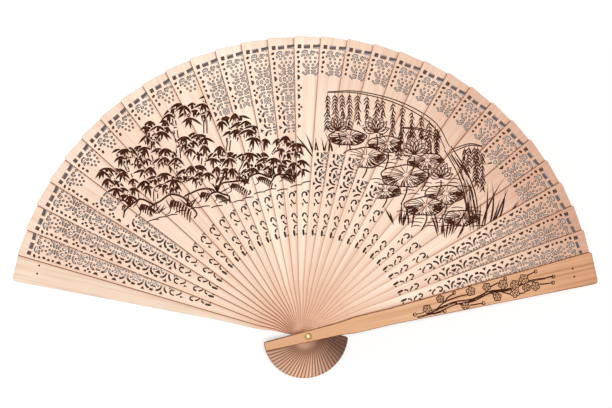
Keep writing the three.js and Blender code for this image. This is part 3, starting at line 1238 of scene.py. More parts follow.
@dataclass
class Rivet:
    """Brass rivet with a domed head, and the washer under its spread tail. Sizes are in millimetres."""

    brass: bpy.types.Material
    shank: float = 1.5
    dome: float = 2.15
    brim: float = 0.16
    tail: float = 0.5
    gap: float = 0.05
    bevel: float = 0.1
    play: float = 0.12
    point: float = 0.02
    segments: int = 56

    def turned(self, name: str, profile: Sequence[Point]) -> bpy.types.Object:
        """Surface of a profile of radii and heights turned about Z, closed where it meets the axis.

        Args:
            name: the CAD node that the piece stands for.
            profile: radius and height of each ring, in millimetres.

        Returns:
            The new object.
        """
        rings = np.asarray(profile, float)
        t = np.linspace(0, 2 * math.pi, self.segments, endpoint=False)
        around = np.stack([np.cos(t), np.sin(t)], axis=1)
        flat = rings[:, None, :1] * around[None, :, :]
        high = np.broadcast_to(rings[:, None, 1:], (*flat.shape[:2], 1))
        points = MM * np.concatenate([flat, high], axis=2).reshape(-1, 3)
        here = np.arange(self.segments)
        after = np.roll(here, -1)
        rows = self.segments * np.arange(len(rings) - 1)
        quads = np.vstack([ring_walls(row + here, row + after, self.segments) for row in rows])
        piece = make_piece(f"brass_{name}", points, (quads,), (self.brass,), curved=True)
        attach(piece, "back_guard")
        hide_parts(name)
        return piece

    def build(self) -> None:
        """Turn the rivet and the washer between the heights of their CAD nodes."""
        low, high = (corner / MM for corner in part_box("rivet_pin"))
        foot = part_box("front_guard")[1].z / MM + self.gap
        spring = foot + self.brim
        rise = np.linspace(0, math.pi / 2, 12)
        dome = np.column_stack([
            np.maximum(self.dome * np.cos(rise), self.point), spring + (high.z - spring) * np.sin(rise)])
        spread = self.shank + self.tail
        tail = [(self.point, low.z), (spread - self.bevel, low.z), (spread, low.z + self.bevel)]
        shank = [(self.shank, low.z + self.tail + self.bevel), (self.shank, foot)]
        brim = [(self.dome - self.bevel, foot), (self.dome, foot + self.bevel / 2)]
        self.turned("rivet_pin", [*tail, *shank, *brim, *dome])
        low, high = (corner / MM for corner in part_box("rivet_washer"))
        outer = high.x
        bore = self.shank + self.play
        mouth = bore + self.tail
        self.turned("rivet_washer", [
            (mouth, low.z), (outer - self.bevel, low.z), (outer, low.z + self.bevel),
            (outer, high.z - self.bevel), (outer - self.bevel, high.z), (bore, high.z),
            (bore, low.z + self.tail), (mouth, low.z)])


# Binding ribbon


@dataclass
class Ribbon:
    """Binding ribbon: a length for each stick, under it, up through its last slot and on over it.

    Sizes are in millimetres. Heights are from the stick's lower face.
    """

    cloth: bpy.types.Material
    radius: float = 171.85
    width: float = 1.7
    thickness: float = 0.045
    under: float = -0.075
    over: float = 0.03
    start: float = 6.4
    ramp: Point = (-2.0, -4.3)
    end: float = -8.6
    lean: float = 0.1
    steps: int = 30

    def build(self, poses: Sequence[LeafPose]) -> None:
        """Carry a flat section along each length's route."""
        across = np.linspace(self.start, self.end, self.steps)
        share = np.clip((self.ramp[0] - across) / (self.ramp[0] - self.ramp[1]), 0, 1)
        climb = share * share * (3 - 2 * share)
        middle = self.radius + self.lean * ((self.ramp[0] + self.start) / 2 - across)
        left, right = (np.stack([middle + way * self.width / 2, across], axis=1) for way in (1, -1))
        for pose in poses:
            height = self.under + climb * (pose.thickness + self.over - self.under)
            leaf, quads = strip(left, right, height + self.thickness / 2, height - self.thickness / 2)
            number = pose.node.removeprefix("stick_")
            piece = make_piece(f"ribbon_{number}", pose.placed(leaf), (quads,), (self.cloth,), leaf)
            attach(piece, pose.node)
            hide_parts("binding_ribbon")


# Pen drawing


@dataclass
class Stroke:
    """A pen stroke: a path in millimetres and its width at each point."""

    path: Array
    widths: Array

    def resampled(self, pitch: float) -> "Stroke":
        """The stroke with points at an even distance."""
        along = np.concatenate([[0], np.cumsum(np.linalg.norm(np.diff(self.path, axis=0), axis=1))])
        count = max(int(along[-1] / pitch) + 1, 3)
        at = np.linspace(0, along[-1], count)
        path = np.stack([np.interp(at, along, self.path[:, k]) for k in range(2)], axis=1)
        return Stroke(path, np.interp(at, along, self.widths))

    def pieces(self, keep: Array) -> list["Stroke"]:
        """The runs of points that are kept, as strokes of their own."""
        runs = np.split(np.arange(len(keep)), np.flatnonzero(np.diff(keep)) + 1)
        return [Stroke(self.path[run], self.widths[run]) for run in runs if keep[run[0]] and len(run) > 2]


@dataclass
class Pen:
    """Collects strokes of a drawing.

    Attributes:
        draw: seeded random numbers for the hand's unevenness.
        strokes: what has been drawn.
        weight: share of the given widths that is drawn.
        fine: distance of a line's points where leaf blades hide it.
        coarse: the same where an oval does.
    """

    draw: np.random.Generator
    strokes: list[Stroke] = field(default_factory=list)
    weight: float = 1.0
    fine: float = 0.3
    coarse: float = 0.4

    def line(self, points: Sequence[Point] | Array, width: float, taper: float = 0.35) -> None:
        """A smooth line through points, thinner at both ends by the taper's share."""
        path = smooth(points, 8)
        t = np.linspace(0, 1, len(path))
        swell = 1 - taper + taper * np.sqrt(np.sin(math.pi * np.clip(t, 0.02, 0.98)))
        self.strokes.append(Stroke(path, self.weight * width * swell))

    @staticmethod
    def lens(base: Point | Array, angle: float, length: float, width: float, bend: float) -> Stroke:
        """A stroke that is wide in the middle, along a bent line.

        Args:
            base: where it starts.
            angle: direction in degrees.
            length: length in millimetres.
            width: greatest width.
            bend: how far its tip is bent to the left, as a share of the length.

        Returns:
            The stroke.
        """
        t = np.linspace(0, 1, 12)
        out, side = heading(angle)
        path = np.asarray(base) + length * (t[:, None] * out + bend * (t ** 2)[:, None] * side)
        return Stroke(path, width * np.sin(math.pi * np.clip(t, 0.04, 0.97) ** 0.75))

    def blade(self, base: Point | Array, angle: float, length: float, width: float, bend: float) -> None:
        """A leaf blade, which is a lens."""
        self.strokes.append(self.lens(base, angle, length, self.weight * width, bend))

    def in_front(self, blades: Sequence[Stroke], room: float) -> None:
        """Add blades that hide what is under them, with some room around each."""
        path = np.vstack([blade.path for blade in blades])
        reach = np.concatenate([blade.widths for blade in blades]) / 2 + room
        low = path.min(axis=0) - 1
        high = path.max(axis=0) + 1
        kept = []
        for stroke in self.strokes:
            if not np.all((stroke.path > low) & (stroke.path < high), axis=1).any():
                kept.append(stroke)
                continue
            fine = stroke.resampled(self.fine)
            gap = np.linalg.norm(fine.path[:, None] - path[None], axis=2) - reach
            kept += fine.pieces(gap.min(axis=1) > 0)
        self.strokes = [*kept, *blades]

    def ring(
        self, centre: Point, across: float, along: float, width: float, wobble: float = 0.0, lobes: int = 5,
    ) -> None:
        """A closed oval line with a wavy rim: its reach grows and shrinks by the wobble's share."""
        t = np.linspace(0, 2 * math.pi, 41)
        wave = 1 + wobble * np.sin(lobes * t + self.draw.uniform(0, 6)) + 0.4 * wobble * np.sin(9 * t)
        path = oval(centre, across * wave, along * wave, t)
        self.strokes.append(Stroke(path, np.full(len(path), self.weight * width)))

    def clear(self, centre: Point, across: float, along: float) -> None:
        """Take away what has been drawn inside an oval, for something in front of it."""
        kept = []
        for stroke in (s.resampled(self.coarse) for s in self.strokes):
            kept += stroke.pieces(np.sum(((stroke.path - centre) / (across, along)) ** 2, axis=1) > 1)
        self.strokes = kept

    def scatter(self, spread: float) -> float:
        """A small random number about zero."""
        return float(self.draw.normal(0, spread))


@dataclass
class Grove:
    """Bamboo with drooping leaves on a rocky bank. Sizes are in millimetres."""

    pen: Pen
    leaf: float = 6.4
    leaf_width: float = 1.5
    apart: float = 3.2
    room: float = 0.27
    hatches: int = 16
    places: list[Array] = field(default_factory=list)

    def cane(self, foot: Point, top: Point, width: float, joints: int) -> None:
        """A jointed cane: two sides and a cross line at each joint, thinner towards its top."""
        middle = ((foot[0] + top[0]) / 2 + 0.05 * (top[1] - foot[1]), (foot[1] + top[1]) / 2)
        curve = smooth((foot, middle, top), 24)
        stops = np.linspace(0, len(curve) - 1, joints + 1).astype(int)
        for first, last in zip(stops[:-1], stops[1:]):
            part = curve[first:last + 1]
            left, right = sides(part, np.full(len(part), width * (1 - 0.5 * first / len(curve))))
            for rail in (left[1:-1], right[1:-1]):
                self.pen.line(rail[::3], 0.75, 0.1)
            self.pen.line(np.vstack([left[-1], part[-1] + (0, 0.25), right[-1]]), 0.8, 0.1)

    def spray(self, at: Array, count: int) -> None:
        """Leaves that hang from one place like the fingers of a hand."""
        blades = []
        for k in range(count):
            angle = -90 + (k - (count - 1) / 2) * 33 + self.pen.scatter(7)
            bend = -0.14 if math.cos(math.radians(angle)) > 0 else 0.14
            long = self.leaf * (1 + self.pen.scatter(0.16))
            blades.append(self.pen.lens(at, angle, long, self.leaf_width + self.pen.scatter(0.15), bend))
        self.pen.in_front(blades, self.room)

    def cloud(self, centre: Point, across: float, along: float, sprays: int) -> None:
        """Sprays of leaves scattered in an oval, each on a twig from the oval's foot."""
        foot = np.array([centre[0], centre[1] - 0.9 * along])
        for _ in range(4 * sprays):
            turn = self.pen.draw.uniform(0, 2 * math.pi)
            reach = math.sqrt(self.pen.draw.uniform(0.05, 1))
            at = oval(centre, reach * across, reach * along, turn)
            if any(np.linalg.norm(at - place) < self.apart for place in self.places):
                continue
            self.places.append(at)
            self.pen.line(((foot + 2 * at) / 3 + (0, 1.0), at), 0.5)
            self.spray(at, int(self.pen.draw.integers(4, 6)))

    def rock(self, centre: Point, across: float, along: float) -> None:
        """A rock before what is behind it: a broken outline, facets and hatching on its right side."""
        self.pen.clear((centre[0], centre[1] + 0.1 * along), 0.98 * across, 0.98 * along)
        t = np.radians([188, 160, 128, 95, 62, 30, 2, -14])
        rough = 1 + 0.1 * np.sin(7 * t + centre[0])
        self.pen.line(oval(centre, across * rough, along * rough, t), 1.15)
        facet = np.array([(-0.3, 0.75), (-0.1, 0.2), (-0.35, -0.1)])
        self.pen.line(np.array(centre) + facet * (across, along), 0.6)
        for k in range(self.hatches):
            share = k / (self.hatches - 1)
            x = centre[0] + across * (-0.05 + 0.9 * share)
            y = centre[1] + along * (0.78 - 0.62 * share ** 2)
            drop = along * (0.45 + 0.2 * math.sin(3 * k))
            self.pen.line(((x, y), (x - 0.8, y - 0.5 * drop), (x - 0.9, y - drop)), 0.8)

    def grass(self, at: Point, count: int, length: float) -> None:
        """A tuft of grass."""
        for k in range(count):
            angle = 90 + (k - (count - 1) / 2) * 15 + self.pen.scatter(4)
            foot = (at[0] + self.pen.scatter(1.4), at[1])
            long = length * (1 + self.pen.scatter(0.2))
            self.pen.blade(foot, angle, long, 0.85, self.pen.scatter(0.12))

    def build(self) -> None:
        """The whole grove, in the left half of the field."""
        for foot, top, width, joints in (
            ((-106, 71), (-121, 93), 1.8, 3), ((-99, 71), (-110, 106), 2.2, 4),
            ((-90, 69), (-97, 121), 2.6, 5), ((-79, 70), (-80, 134), 2.8, 6),
            ((-68, 74), (-61, 141), 2.8, 6), ((-57, 79), (-45, 130), 2.5, 5),
            ((-47, 84), (-29, 128), 2.1, 4), ((-38, 88), (-14, 118), 1.7, 3),
        ):
            self.cane(foot, top, width, joints)
        for centre, across, along, sprays in (
            ((-116, 96), 7, 6, 5), ((-103, 109), 9, 7, 7), ((-90, 123), 8, 7, 6), ((-74, 134), 9, 6, 7),
            ((-58, 137), 8, 6, 6), ((-43, 127), 9, 7, 7), ((-27, 123), 8, 7, 6), ((-13, 113), 8, 6, 6),
            ((-97, 95), 8, 6, 6), ((-66, 115), 9, 6, 7), ((-50, 108), 8, 5, 6), ((-31, 106), 8, 5, 6),
            ((-82, 108), 8, 5, 6), ((-108, 86), 7, 4, 5), ((-84, 93), 8, 5, 6), ((-68, 97), 8, 5, 6),
            ((-53, 97), 7, 4, 5), ((-38, 100), 7, 4, 5), ((-20, 103), 7, 4, 5), ((-7, 102), 6, 4, 4),
        ):
            self.cloud(centre, across, along, sprays)
        for centre, across, along in (
            ((-112, 74), 8, 6), ((-98, 71), 11, 9), ((-62, 79), 11, 8), ((-80, 72), 13, 11),
            ((-44, 85), 10, 7), ((-53, 80), 7, 5), ((-28, 90), 9, 6), ((-14, 92), 7, 4),
        ):
            self.rock(centre, across, along)
        for at in ((-106, 76), (-90, 72), (-70, 76), (-54, 85), (-37, 90), (-21, 94), (-8, 93), (-118, 77)):
            self.grass(at, 8, 7.5)
        for k in range(16):
            x = -104 + 6.6 * k + self.pen.scatter(1)
            y = 66 + 1.55 * k + self.pen.scatter(0.6)
            self.pen.line(((x, y), (x + 3.5, y + 1.2), (x + 7, y + 1.4)), 0.7)


@dataclass
class Pond:
    """Willow over lotus leaves and flowers, with reeds and a bird. Sizes are in millimetres."""

    pen: Pen
    leaf_pitch: float = 1.9
    bark: int = 26
    veins: int = 18
    hatches: int = 34

    def frond(self, at: Array, length: float, sway: float) -> None:
        """A hanging twig with narrow leaves on both sides.

        Args:
            at: where it leaves the bough.
            length: in millimetres.
            sway: how far its end swings to the right.
        """
        t = np.linspace(0, 1, 6)[:, None]
        path = np.asarray(at) + t * (0.0, -length) + t ** 2 * (sway, 0.0)
        self.pen.line(path, 0.5)
        for k in range(1, int(length / self.leaf_pitch)):
            share = self.leaf_pitch * k / length
            place = np.asarray(at) + (share ** 2 * sway, -share * length)
            for way in (1, -1):
                angle = -90 + way * (34 + self.pen.scatter(8))
                self.pen.blade(place, angle, 3.6 + self.pen.scatter(0.5), 0.95, -0.1 * way)

    def willow(self) -> None:
        """Trunk with bark lines, boughs, and fronds along them."""
        trunk = smooth(((99, 66), (98, 82), (93, 97), (84, 112)), 8)
        left, right = sides(trunk, np.linspace(7.5, 4.5, len(trunk)))
        for rail in (left, right):
            self.pen.line(rail[::3], 1.0)
        for _ in range(self.bark):
            share = self.pen.draw.uniform(0.12, 0.92)
            at = left + share * (right - left)
            first = int(self.pen.draw.integers(0, len(at) - 5))
            self.pen.line(at[first:first + 5], 0.6)
        boughs = (
            smooth(((84, 112), (75, 127), (54, 139), (30, 145), (12, 145)), 8),
            smooth(((86, 110), (97, 114), (105, 113)), 8),
            smooth(((80, 118), (68, 123), (56, 124)), 8),
        )
        for bough, width in zip(boughs, (3.0, 1.6, 1.5)):
            for rail in sides(bough, np.linspace(width, 0.4, len(bough))):
                self.pen.line(rail[::2], 0.8)
        for bough, count, length in zip(boughs, (15, 5, 5), (24, 24, 17)):
            for at in bough[np.linspace(6, len(bough) - 1, count).astype(int)]:
                self.frond(at, length * (1 + self.pen.scatter(0.18)), self.pen.scatter(2.0))

    def pad(self, centre: Point, across: float, along: float, foot: Point) -> None:
        """A lotus leaf on its stem: wavy rim, veins, and hatching along its near side."""
        self.pen.line((centre, (centre[0] + 1.5, (centre[1] + foot[1]) / 2), foot), 1.1)
        self.pen.clear(centre, across, along)
        self.pen.ring(centre, across, along, 0.95, 0.05)
        hub = np.array([centre[0] + 0.1 * across, centre[1] + 0.15 * along])
        for k in range(self.veins):
            t = 2 * math.pi * k / self.veins + self.pen.scatter(0.05)
            end = oval(centre, 0.93 * across, 0.93 * along, t)
            start = hub + 0.16 * (end - hub)
            self.pen.line((start, (start + end) / 2 + (0, 0.3), end), 0.55)
        for k in range(self.hatches):
            t = math.radians(180 + 6.2 * k + self.pen.scatter(2))
            inner = 0.55 + self.pen.scatter(0.1)
            ends = [oval(centre, share * across, share * along, t) for share in (0.97, inner)]
            self.pen.line(ends, 0.75)

    def flower(self, at: Point, size: float, foot: Point) -> None:
        """An open lotus: pointed petals with fine lines, on a stem."""
        self.pen.line((at, ((at[0] + foot[0]) / 2 + 1, (at[1] + foot[1]) / 2), foot), 1.0)
        self.pen.clear((at[0], at[1] + 0.45 * size), 0.75 * size, 0.55 * size)
        base = np.array(at)
        petals = ((18, 0.9), (162, 0.9), (45, 1.0), (135, 1.0), (68, 1.08), (112, 1.08), (90, 1.1))
        for angle, share in petals:
            out, side = (size * share * way for way in heading(angle))
            for bulge in (0.24, -0.24):
                self.pen.line((base, base + 0.5 * out + bulge * side, base + out), 0.7, 0.2)
            for spread in (-0.08, 0.08):
                self.pen.line((base + 0.4 * out + spread * side, base + 0.9 * out), 0.4)

    def reeds(self, at: Point, count: int, length: float, lean: float) -> None:
        """A stand of long blades."""
        for k in range(count):
            x = at[0] + 1.5 * (k - count / 2) + self.pen.scatter(0.6)
            angle = 90 + lean - 5 * (k - count / 2) + self.pen.scatter(4)
            long = length * (1 + self.pen.scatter(0.2))
            self.pen.blade((x, at[1] + self.pen.scatter(1)), angle, long, 1.4, self.pen.scatter(0.16))

    def ripples(self, at: Point, span: float, rows: int) -> None:
        """Rows of short water lines."""
        for row in range(rows):
            y = at[1] - 2.2 * row
            x = at[0] + self.pen.scatter(3)
            while x < at[0] + span:
                long = 5 + abs(self.pen.scatter(3))
                self.pen.line(((x, y), (x + long / 2, y + 0.6), (x + long, y)), 0.7)
                x += long + 1.5 + abs(self.pen.scatter(1.5))

    def bird(self, at: Point, size: float, turn: float) -> None:
        """A bird on the wing: two bent wings and a body."""
        for bend, angle in ((-0.35, 25 + turn), (0.35, 155 + turn)):
            self.pen.blade(at, angle, size, size * 0.24, bend)
        self.pen.blade((at[0], at[1] + 0.3), -70 + turn, size * 0.7, size * 0.24, 0.0)

    def build(self) -> None:
        """The whole pond, in the right half of the field."""
        self.willow()
        for at, span, rows in (((12, 107), 42, 4), ((38, 93), 48, 5), ((58, 76), 44, 6)):
            self.ripples(at, span, rows)
        for centre, across, along, foot in (
            ((24, 118), 11, 4.6, (24, 104)), ((47, 114), 11, 4.8, (46, 98)), ((71, 104), 11, 4.8, (68, 86)),
            ((34, 106), 13, 6, (32, 92)), ((58, 95), 14, 6.5, (56, 78)), ((82, 84), 12, 5.6, (79, 68)),
            ((70, 77), 12, 5.4, (68, 62)), ((46, 86), 10, 4.2, (45, 76)), ((92, 70), 10, 4.6, (90, 58)),
        ):
            self.pad(centre, across, along, foot)
        for at, size, foot in (
            ((41, 121), 9.5, (41, 110)), ((64, 108), 10.0, (62, 96)), ((80, 94), 9.0, (78, 84)),
            ((18, 122), 8.0, (19, 112)),
        ):
            self.flower(at, size, foot)
        for at, count, length, lean in (
            ((107, 62), 13, 24, -16), ((9, 103), 8, 17, 4), ((84, 60), 9, 13, -10), ((57, 66), 8, 11, 0),
        ):
            self.reeds(at, count, length, lean)
        self.bird((113, 103), 5.5, 15)


@dataclass
class PlumSprig:
    """Plum branch with blossoms, along the front guard, in the guard's own coordinates."""

    pen: Pen

    def blossom(self, at: Point, size: float) -> None:
        """Five round petals: a rim with five lobes, a second line inside it, and a heart with stamens.

        The rim's reach is size (0.74 + 0.26 |cos 2.5 t|).
        """
        self.pen.clear(at, 0.95 * size, 0.95 * size)
        start = 0.7 * math.sin(at[0])
        t = np.linspace(0, 2 * math.pi, 61)
        lobes = 0.74 + 0.26 * np.abs(np.cos(2.5 * t))
        for share, width in ((1.0, 0.6), (0.62, 0.36)):
            reach = size * share * lobes
            self.pen.strokes.append(Stroke(oval(at, reach, reach, t + start), np.full(len(t), width)))
        for k in range(5):
            a = start + 2 * math.pi * (k + 0.5) / 5
            ends = [oval(at, share * size, share * size, a) for share in (0.2, 0.74)]
            self.pen.line(ends, 0.36)
        self.pen.ring(at, 0.16 * size, 0.16 * size, 0.42)

    def bud(self, at: Point, size: float) -> None:
        """A round bud with a dark calyx."""
        self.pen.ring(at, size, size, 0.5)
        self.pen.blade((at[0] - 1.2 * size, at[1]), 0, 1.3 * size, 1.1 * size, 0.0)

    def build(self) -> None:
        """Branch from the rivet's side outwards, twigs to both sides, blossoms and buds."""
        bends = (
            (66, -3.4), (78, -3.0), (90, -1.2), (101, -1.9), (112, 0.3), (124, -0.7), (137, 1.2), (150, 0.4))
        branch = smooth(bends, 8)
        left, right = sides(branch, np.linspace(2.3, 0.5, len(branch)))
        for rail in (left, right):
            self.pen.line(rail[::3], 0.75)
        for k in range(22):
            first = 2 * k
            share = self.pen.draw.uniform(0.15, 0.85)
            self.pen.line((left + share * (right - left))[first:first + 6], 0.5)
        for points in (
            ((78, -2.4), (84, 0.8), (93, 2.2), (100, 2.0)), ((90, -1.0), (97, -4.2), (106, -5.0)),
            ((84, 0.8), (87, 3.4), (91, 4.4)), ((108, -0.4), (114, 3.6), (122, 5.2)),
            ((118, -0.4), (125, -4.0), (133, -5.0)), ((128, 0.0), (133, 3.8), (141, 5.8)),
            ((138, 1.2), (143, -2.0), (150, -3.0)), ((72, -3.2), (76, -4.4), (82, -4.4)),
            ((112, 0.2), (114, -1.2), (116, -3.0)), ((84, 0.8), (83.4, 2.0), (82, 3.4)),
            ((146, 0.8), (150, 0.9), (152, 0.6)),
        ):
            self.pen.line(points, 0.85)
        for at, size in (
            ((73, -0.6), 2.6), ((82, 3.4), 2.4), ((101, 3.6), 2.8), ((96, -4.2), 2.4), ((111, 3.9), 2.5),
            ((121, 3.0), 2.9), ((127, -3.5), 2.9), ((116, -3.5), 2.5), ((134, 3.2), 3.0), ((140, -2.6), 2.7),
            ((128, 1.2), 2.8), ((134.5, -2.2), 2.5),
        ):
            self.blossom(at, size)
        for at in (
            (91, 5.0), (107, -5.2), (123, 6.0), (142, 6.0), (151, -3.0), (152, 0.5), (83, -4.4), (65, -2.2),
        ):
            self.bud(at, 0.95)


@dataclass
class Drawing:
    """Pen lines as thin raised strips, cut at the edges of the leaves that they cross."""

    ink: bpy.types.Material
    shape: StickShape
    pitch: float = 0.5
    sunk: float = 0.01
    raised: float = 0.02
    layer: float = 0.001
    layers: int = 26
    rim: float = 0.06
    margin: float = 0.8

    def owners(self, points: Array, poses: Sequence[LeafPose]) -> Array:
        """Number of the uppermost stick at each point, 0 where it isn't on bare wood.

        A point at radius r and direction a lies on stick i when a is at most its turn plus
        asin(half width over r), and the highest such stick is on top.

        Args:
            points: points on the fan, in millimetres.
            poses: the sticks.

        Returns:
            Stick numbers.
        """
        radius = np.linalg.norm(points, axis=1)
        direction = np.arctan2(points[:, 1], points[:, 0])
        reach = np.arcsin(np.clip(self.shape.left_edge(radius) / radius, 0, 1))
        first = poses[0].turn + self.shape.step
        number = np.floor((first - direction + reach) / self.shape.step).astype(int)
        number = np.clip(number, 1, len(poses))
        low = np.array(self.shape.bare_from)[number - 1] + self.margin
        high = np.array(self.shape.bare_to)[number - 1] - self.margin
        island, first, last = self.shape.island
        taken = (number == island) & (radius > first - self.margin) & (radius < last + self.margin)
        return np.where((radius > low) & (radius < high) & ~taken, number, 0)

    def strips(self, runs: Sequence[Stroke], top: float, limit: HalfWidth) -> tuple[Array, Array]:
        """Closed strips along runs of leaf points, each a little higher than the last.

        Args:
            runs: paths on the leaf and their widths.
            top: height of the leaf's upper face.
            limit: the leaf's half width at a radius.

        Returns:
            Leaf points and quads.
        """
        points = []
        quads = []
        base = 0
        for number, run in enumerate(runs):
            rails = []
            for rail in sides(run.path, run.widths):
                edge = limit(rail[:, 0]) - self.rim
                rails.append(np.column_stack([rail[:, 0], np.clip(rail[:, 1], -edge, edge)]))
            high = top + self.raised + self.layer * (number % self.layers)
            block, faces = strip(*rails, high, top - self.sunk)
            points.append(block)
            quads.append(faces + base)
            base += len(block)
        return np.vstack(points), np.vstack(quads)

    def add(self, pose: LeafPose, runs: Sequence[Stroke], limit: HalfWidth) -> None:
        """One leaf's share of the drawing, as one piece."""
        leaf, quads = self.strips(runs, pose.thickness, limit)
        piece = make_piece(f"ink_{pose.node}", pose.placed(leaf), (quads,), (self.ink,), leaf)
        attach(piece, pose.node)

    def on_sticks(self, strokes: Sequence[Stroke], poses: Sequence[LeafPose]) -> None:
        """Share the strokes out among the sticks that they cross."""
        runs: dict[int, list[Stroke]] = {}
        for stroke in (s.resampled(self.pitch) for s in strokes):
            number = self.owners(stroke.path, poses)
            breaks = np.flatnonzero(np.diff(number)) + 1
            for part in np.split(np.arange(len(number)), breaks):
                owner = int(number[part[0]])
                first = max(part[0] - 1, 0)
                last = min(part[-1] + 2, len(number))
                if owner == 0 or last - first < 3:
                    continue
                turn = poses[owner - 1].turn
                c = math.cos(turn)
                s = math.sin(turn)
                x, y = stroke.path[first:last].T
                local = np.stack([c * x + s * y, c * y - s * x], axis=1)
                runs.setdefault(owner, []).append(Stroke(local, stroke.widths[first:last]))
        for owner in sorted(runs):
            self.add(poses[owner - 1], runs[owner], self.shape.left_edge)

    def on_guard(self, strokes: Sequence[Stroke], pose: LeafPose) -> None:
        """Put strokes that are drawn in the guard's own coordinates on it."""
        runs = [s.resampled(self.pitch / 2) for s in strokes]
        self.add(pose, runs, GuardShape().half_width)


# Studio


@dataclass(frozen=True)
class Studio:
    """White floor, soft light and the camera of the photograph.

    Sizes are in metres, angles in radians and the focal length in pixels of the picture.
    """

    place: tuple[float, float, float] = (-0.08332, 0.1225, 0.9)
    pitch: float = -0.05
    yaw: float = -0.0926
    roll: float = 0.0039
    focal: float = 1493.8
    picture_width: float = 612.0
    sensor: float = 36.0
    floor_gap: float = 0.0004
    floor_size: float = 4.0
    floor_cells: int = 4
    sky: float = 0.27
    sun: float = 2.45
    sun_angle: float = 0.26
    sun_way: tuple[float, float, float] = (0.08, -0.1, -1.0)

    def camera(self) -> None:
        """Camera that looks down on the fan."""
        data = bpy.data.cameras.new("camera")
        data.sensor_width = self.sensor
        data.lens = self.focal * self.sensor / self.picture_width
        camera = bpy.data.objects.new("camera", data)
        level = Matrix.Rotation(self.yaw, 4, "Y") @ Matrix.Rotation(self.pitch, 4, "X")
        turn = Matrix.Rotation(self.roll, 4, "Z") @ level
        camera.matrix_world = Matrix.Translation(self.place) @ turn
        bpy.context.scene.collection.objects.link(camera)
        bpy.context.scene.camera = camera

    def floor(self) -> None:
        """White sheet just under the fan, which still shows the fan's shadow faintly."""
        half = self.floor_size / 2
        row = self.floor_cells + 1
        t = np.linspace(-half, half, row)
        x, y = np.meshgrid(t, t, indexing="ij")
        points = np.stack([x.ravel(), y.ravel(), np.full(x.size, -self.floor_gap)], axis=1)
        cells = np.arange(self.floor_cells)
        base = (row * cells[:, None] + cells[None, :]).ravel()
        quads = ring_walls(base, base + row, 1)
        sheet = make_piece("floor", points, (quads,), (self.paper(),))

    @staticmethod
    def paper() -> bpy.types.Material:
        """White paper, whose shadows are lifted a little, least under the fan's middle and left."""
        shader = Shader("white_paper")
        shader.gloss(Base_Color=(0.98, 0.98, 0.98), Roughness=0.9, Specular_IOR_Level=0.1)
        x, y, _ = shader.place()
        reach = (x * x + y * y) ** 0.5
        middle = reach.between(0.05, 0.07) * reach.between(0.15, 0.1)
        lift = (x.between(-0.15, -0.03) * 0.25 + 0.03) * (1.0 - middle)
        rays = shader.node("LightPath").outputs
        camera, glossy, through = (
            Value(shader, rays[f"Is {kind} Ray"]) for kind in ("Camera", "Glossy", "Transmission"))
        seen = camera.at_least(glossy).at_least(through)
        glow = shader.node("Emission", Strength=1.0).outputs[0]
        blend = shader.node("MixShader", seen * lift, shader.surface.outputs[0], glow)
        shader.feed(shader.tree.nodes["Material Output"].inputs["Surface"], blend.outputs[0])
        return shader.material

    def light(self) -> None:
        """Even white sky with a soft key light from above, a little to the upper left."""
        world = bpy.data.worlds.new("sky")
        bpy.context.scene.world = world
        world.use_nodes = True
        back = world.node_tree.nodes["Background"]
        back.inputs["Color"].default_value = (1.0, 1.0, 1.0, 1.0)
        back.inputs["Strength"].default_value = self.sky
        lamp = bpy.data.lights.new("key", "SUN")
        lamp.energy = self.sun
        lamp.angle = self.sun_angle
        key = bpy.data.objects.new("key", lamp)
        key.rotation_euler = Vector(self.sun_way).to_track_quat("-Z", "Y").to_euler()
        bpy.context.scene.collection.objects.link(key)

    def build(self) -> None:
        """Camera, floor and light."""
        self.camera()
        self.floor()
        self.light()
        bpy.context.scene.view_settings.view_transform = "Standard"


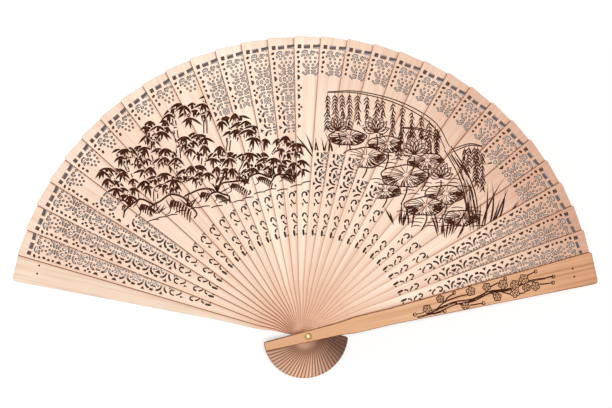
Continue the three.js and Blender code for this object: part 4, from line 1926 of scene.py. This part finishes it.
def main() -> None:
    """Build the fan's pieces in order, then the studio, and note the sizes."""
    logging.basicConfig(level=logging.INFO, format="%(name)s %(message)s")
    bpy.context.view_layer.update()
    fan = FanFrame.read(frame)
    shape = StickShape(step=fan.step)
    edge = EdgeFinish("cut_edge", pale=paint(202, 152, 120), burnt=paint(170, 118, 88)).material()
    burnt = EdgeFinish("burnt_edge", pale=paint(92, 52, 30), burnt=paint(46, 25, 15)).material()
    # The stick wood's colours for the band and line beside the next leaf, for the heads and for the wood
    # under the next leaf are painted shade.
    wood = WoodFinish(
        "stick_wood", light=paint(250, 223, 201), dark=paint(238, 198, 172), handled=paint(230, 177, 145),
        handled_to=58.0, streak=0.75, roughness=0.6, shadow_band=paint(212, 158, 130), contact_shadow=paint(132, 78, 48),
        shaded=paint(82, 48, 30), shade_under_tips=paint(90, 48, 24), shade_under=paint(50, 27, 15), cover=shape.cover())
    Sticks(shape, wood.material(), edge, burnt).build(fan.sticks)
    front = WoodFinish(
        "front_guard_wood", light=paint(232, 181, 139), dark=paint(194, 138, 97),
        handled=paint(221, 165, 122), handled_to=60.0, streak=0.9, roughness=0.5).material()
    # The back guard's wood has the same painted shade beside and under the first stick.
    back = replace(
        wood, name="back_guard_wood", light=paint(242, 216, 192), dark=paint(226, 188, 158),
        handled=paint(226, 180, 148), handled_to=60.0, streak=0.8, roughness=0.55,
        shade_under=paint(60, 34, 22), top=fan.back.thickness).material()
    # The front guard's rounded sides are browner than its face: a browned cut edge, and painted shade along
    # them.
    side = EdgeFinish("front_guard_side", pale=paint(182, 128, 88), burnt=paint(134, 88, 56)).material()
    Guard(GuardShape(), front, side, burnt, "front_guard_wood", (3.7, 1.0, 0.7)).build(fan.front)
    Guard(GuardShape(), back, back, burnt, "back_guard_wood", (8.2, 1.0, 0.0)).build(fan.back)
    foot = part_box("front_guard")[1].z
    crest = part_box("rivet_pin")[1].z
    brass = BrassFinish(
        "rivet_brass", colour=paint(255, 212, 138), dull=paint(216, 148, 74), brown=paint(92, 50, 24),
        foot=foot, crest=0.3 * foot + 0.7 * crest)
    Rivet(brass.material()).build()
    cloth = RibbonFinish("ribbon_cloth", paint(120, 103, 99), paint(70, 54, 49)).material()
    Ribbon(cloth).build(fan.sticks)
    ink = InkFinish("pen_ink", paint(64, 32, 20), paint(112, 72, 52)).material()
    drawing = Drawing(ink, shape)
    pen = Pen(np.random.default_rng(11))
    Grove(pen).build()
    pen.weight = 0.82
    Pond(pen).build()
    drawing.on_sticks(pen.strokes, fan.sticks)
    sprig = Pen(np.random.default_rng(5))
    PlumSprig(sprig).build()
    drawing.on_guard(sprig.strokes, fan.front)
    Studio().build()


if __name__ == "__main__":
    main()
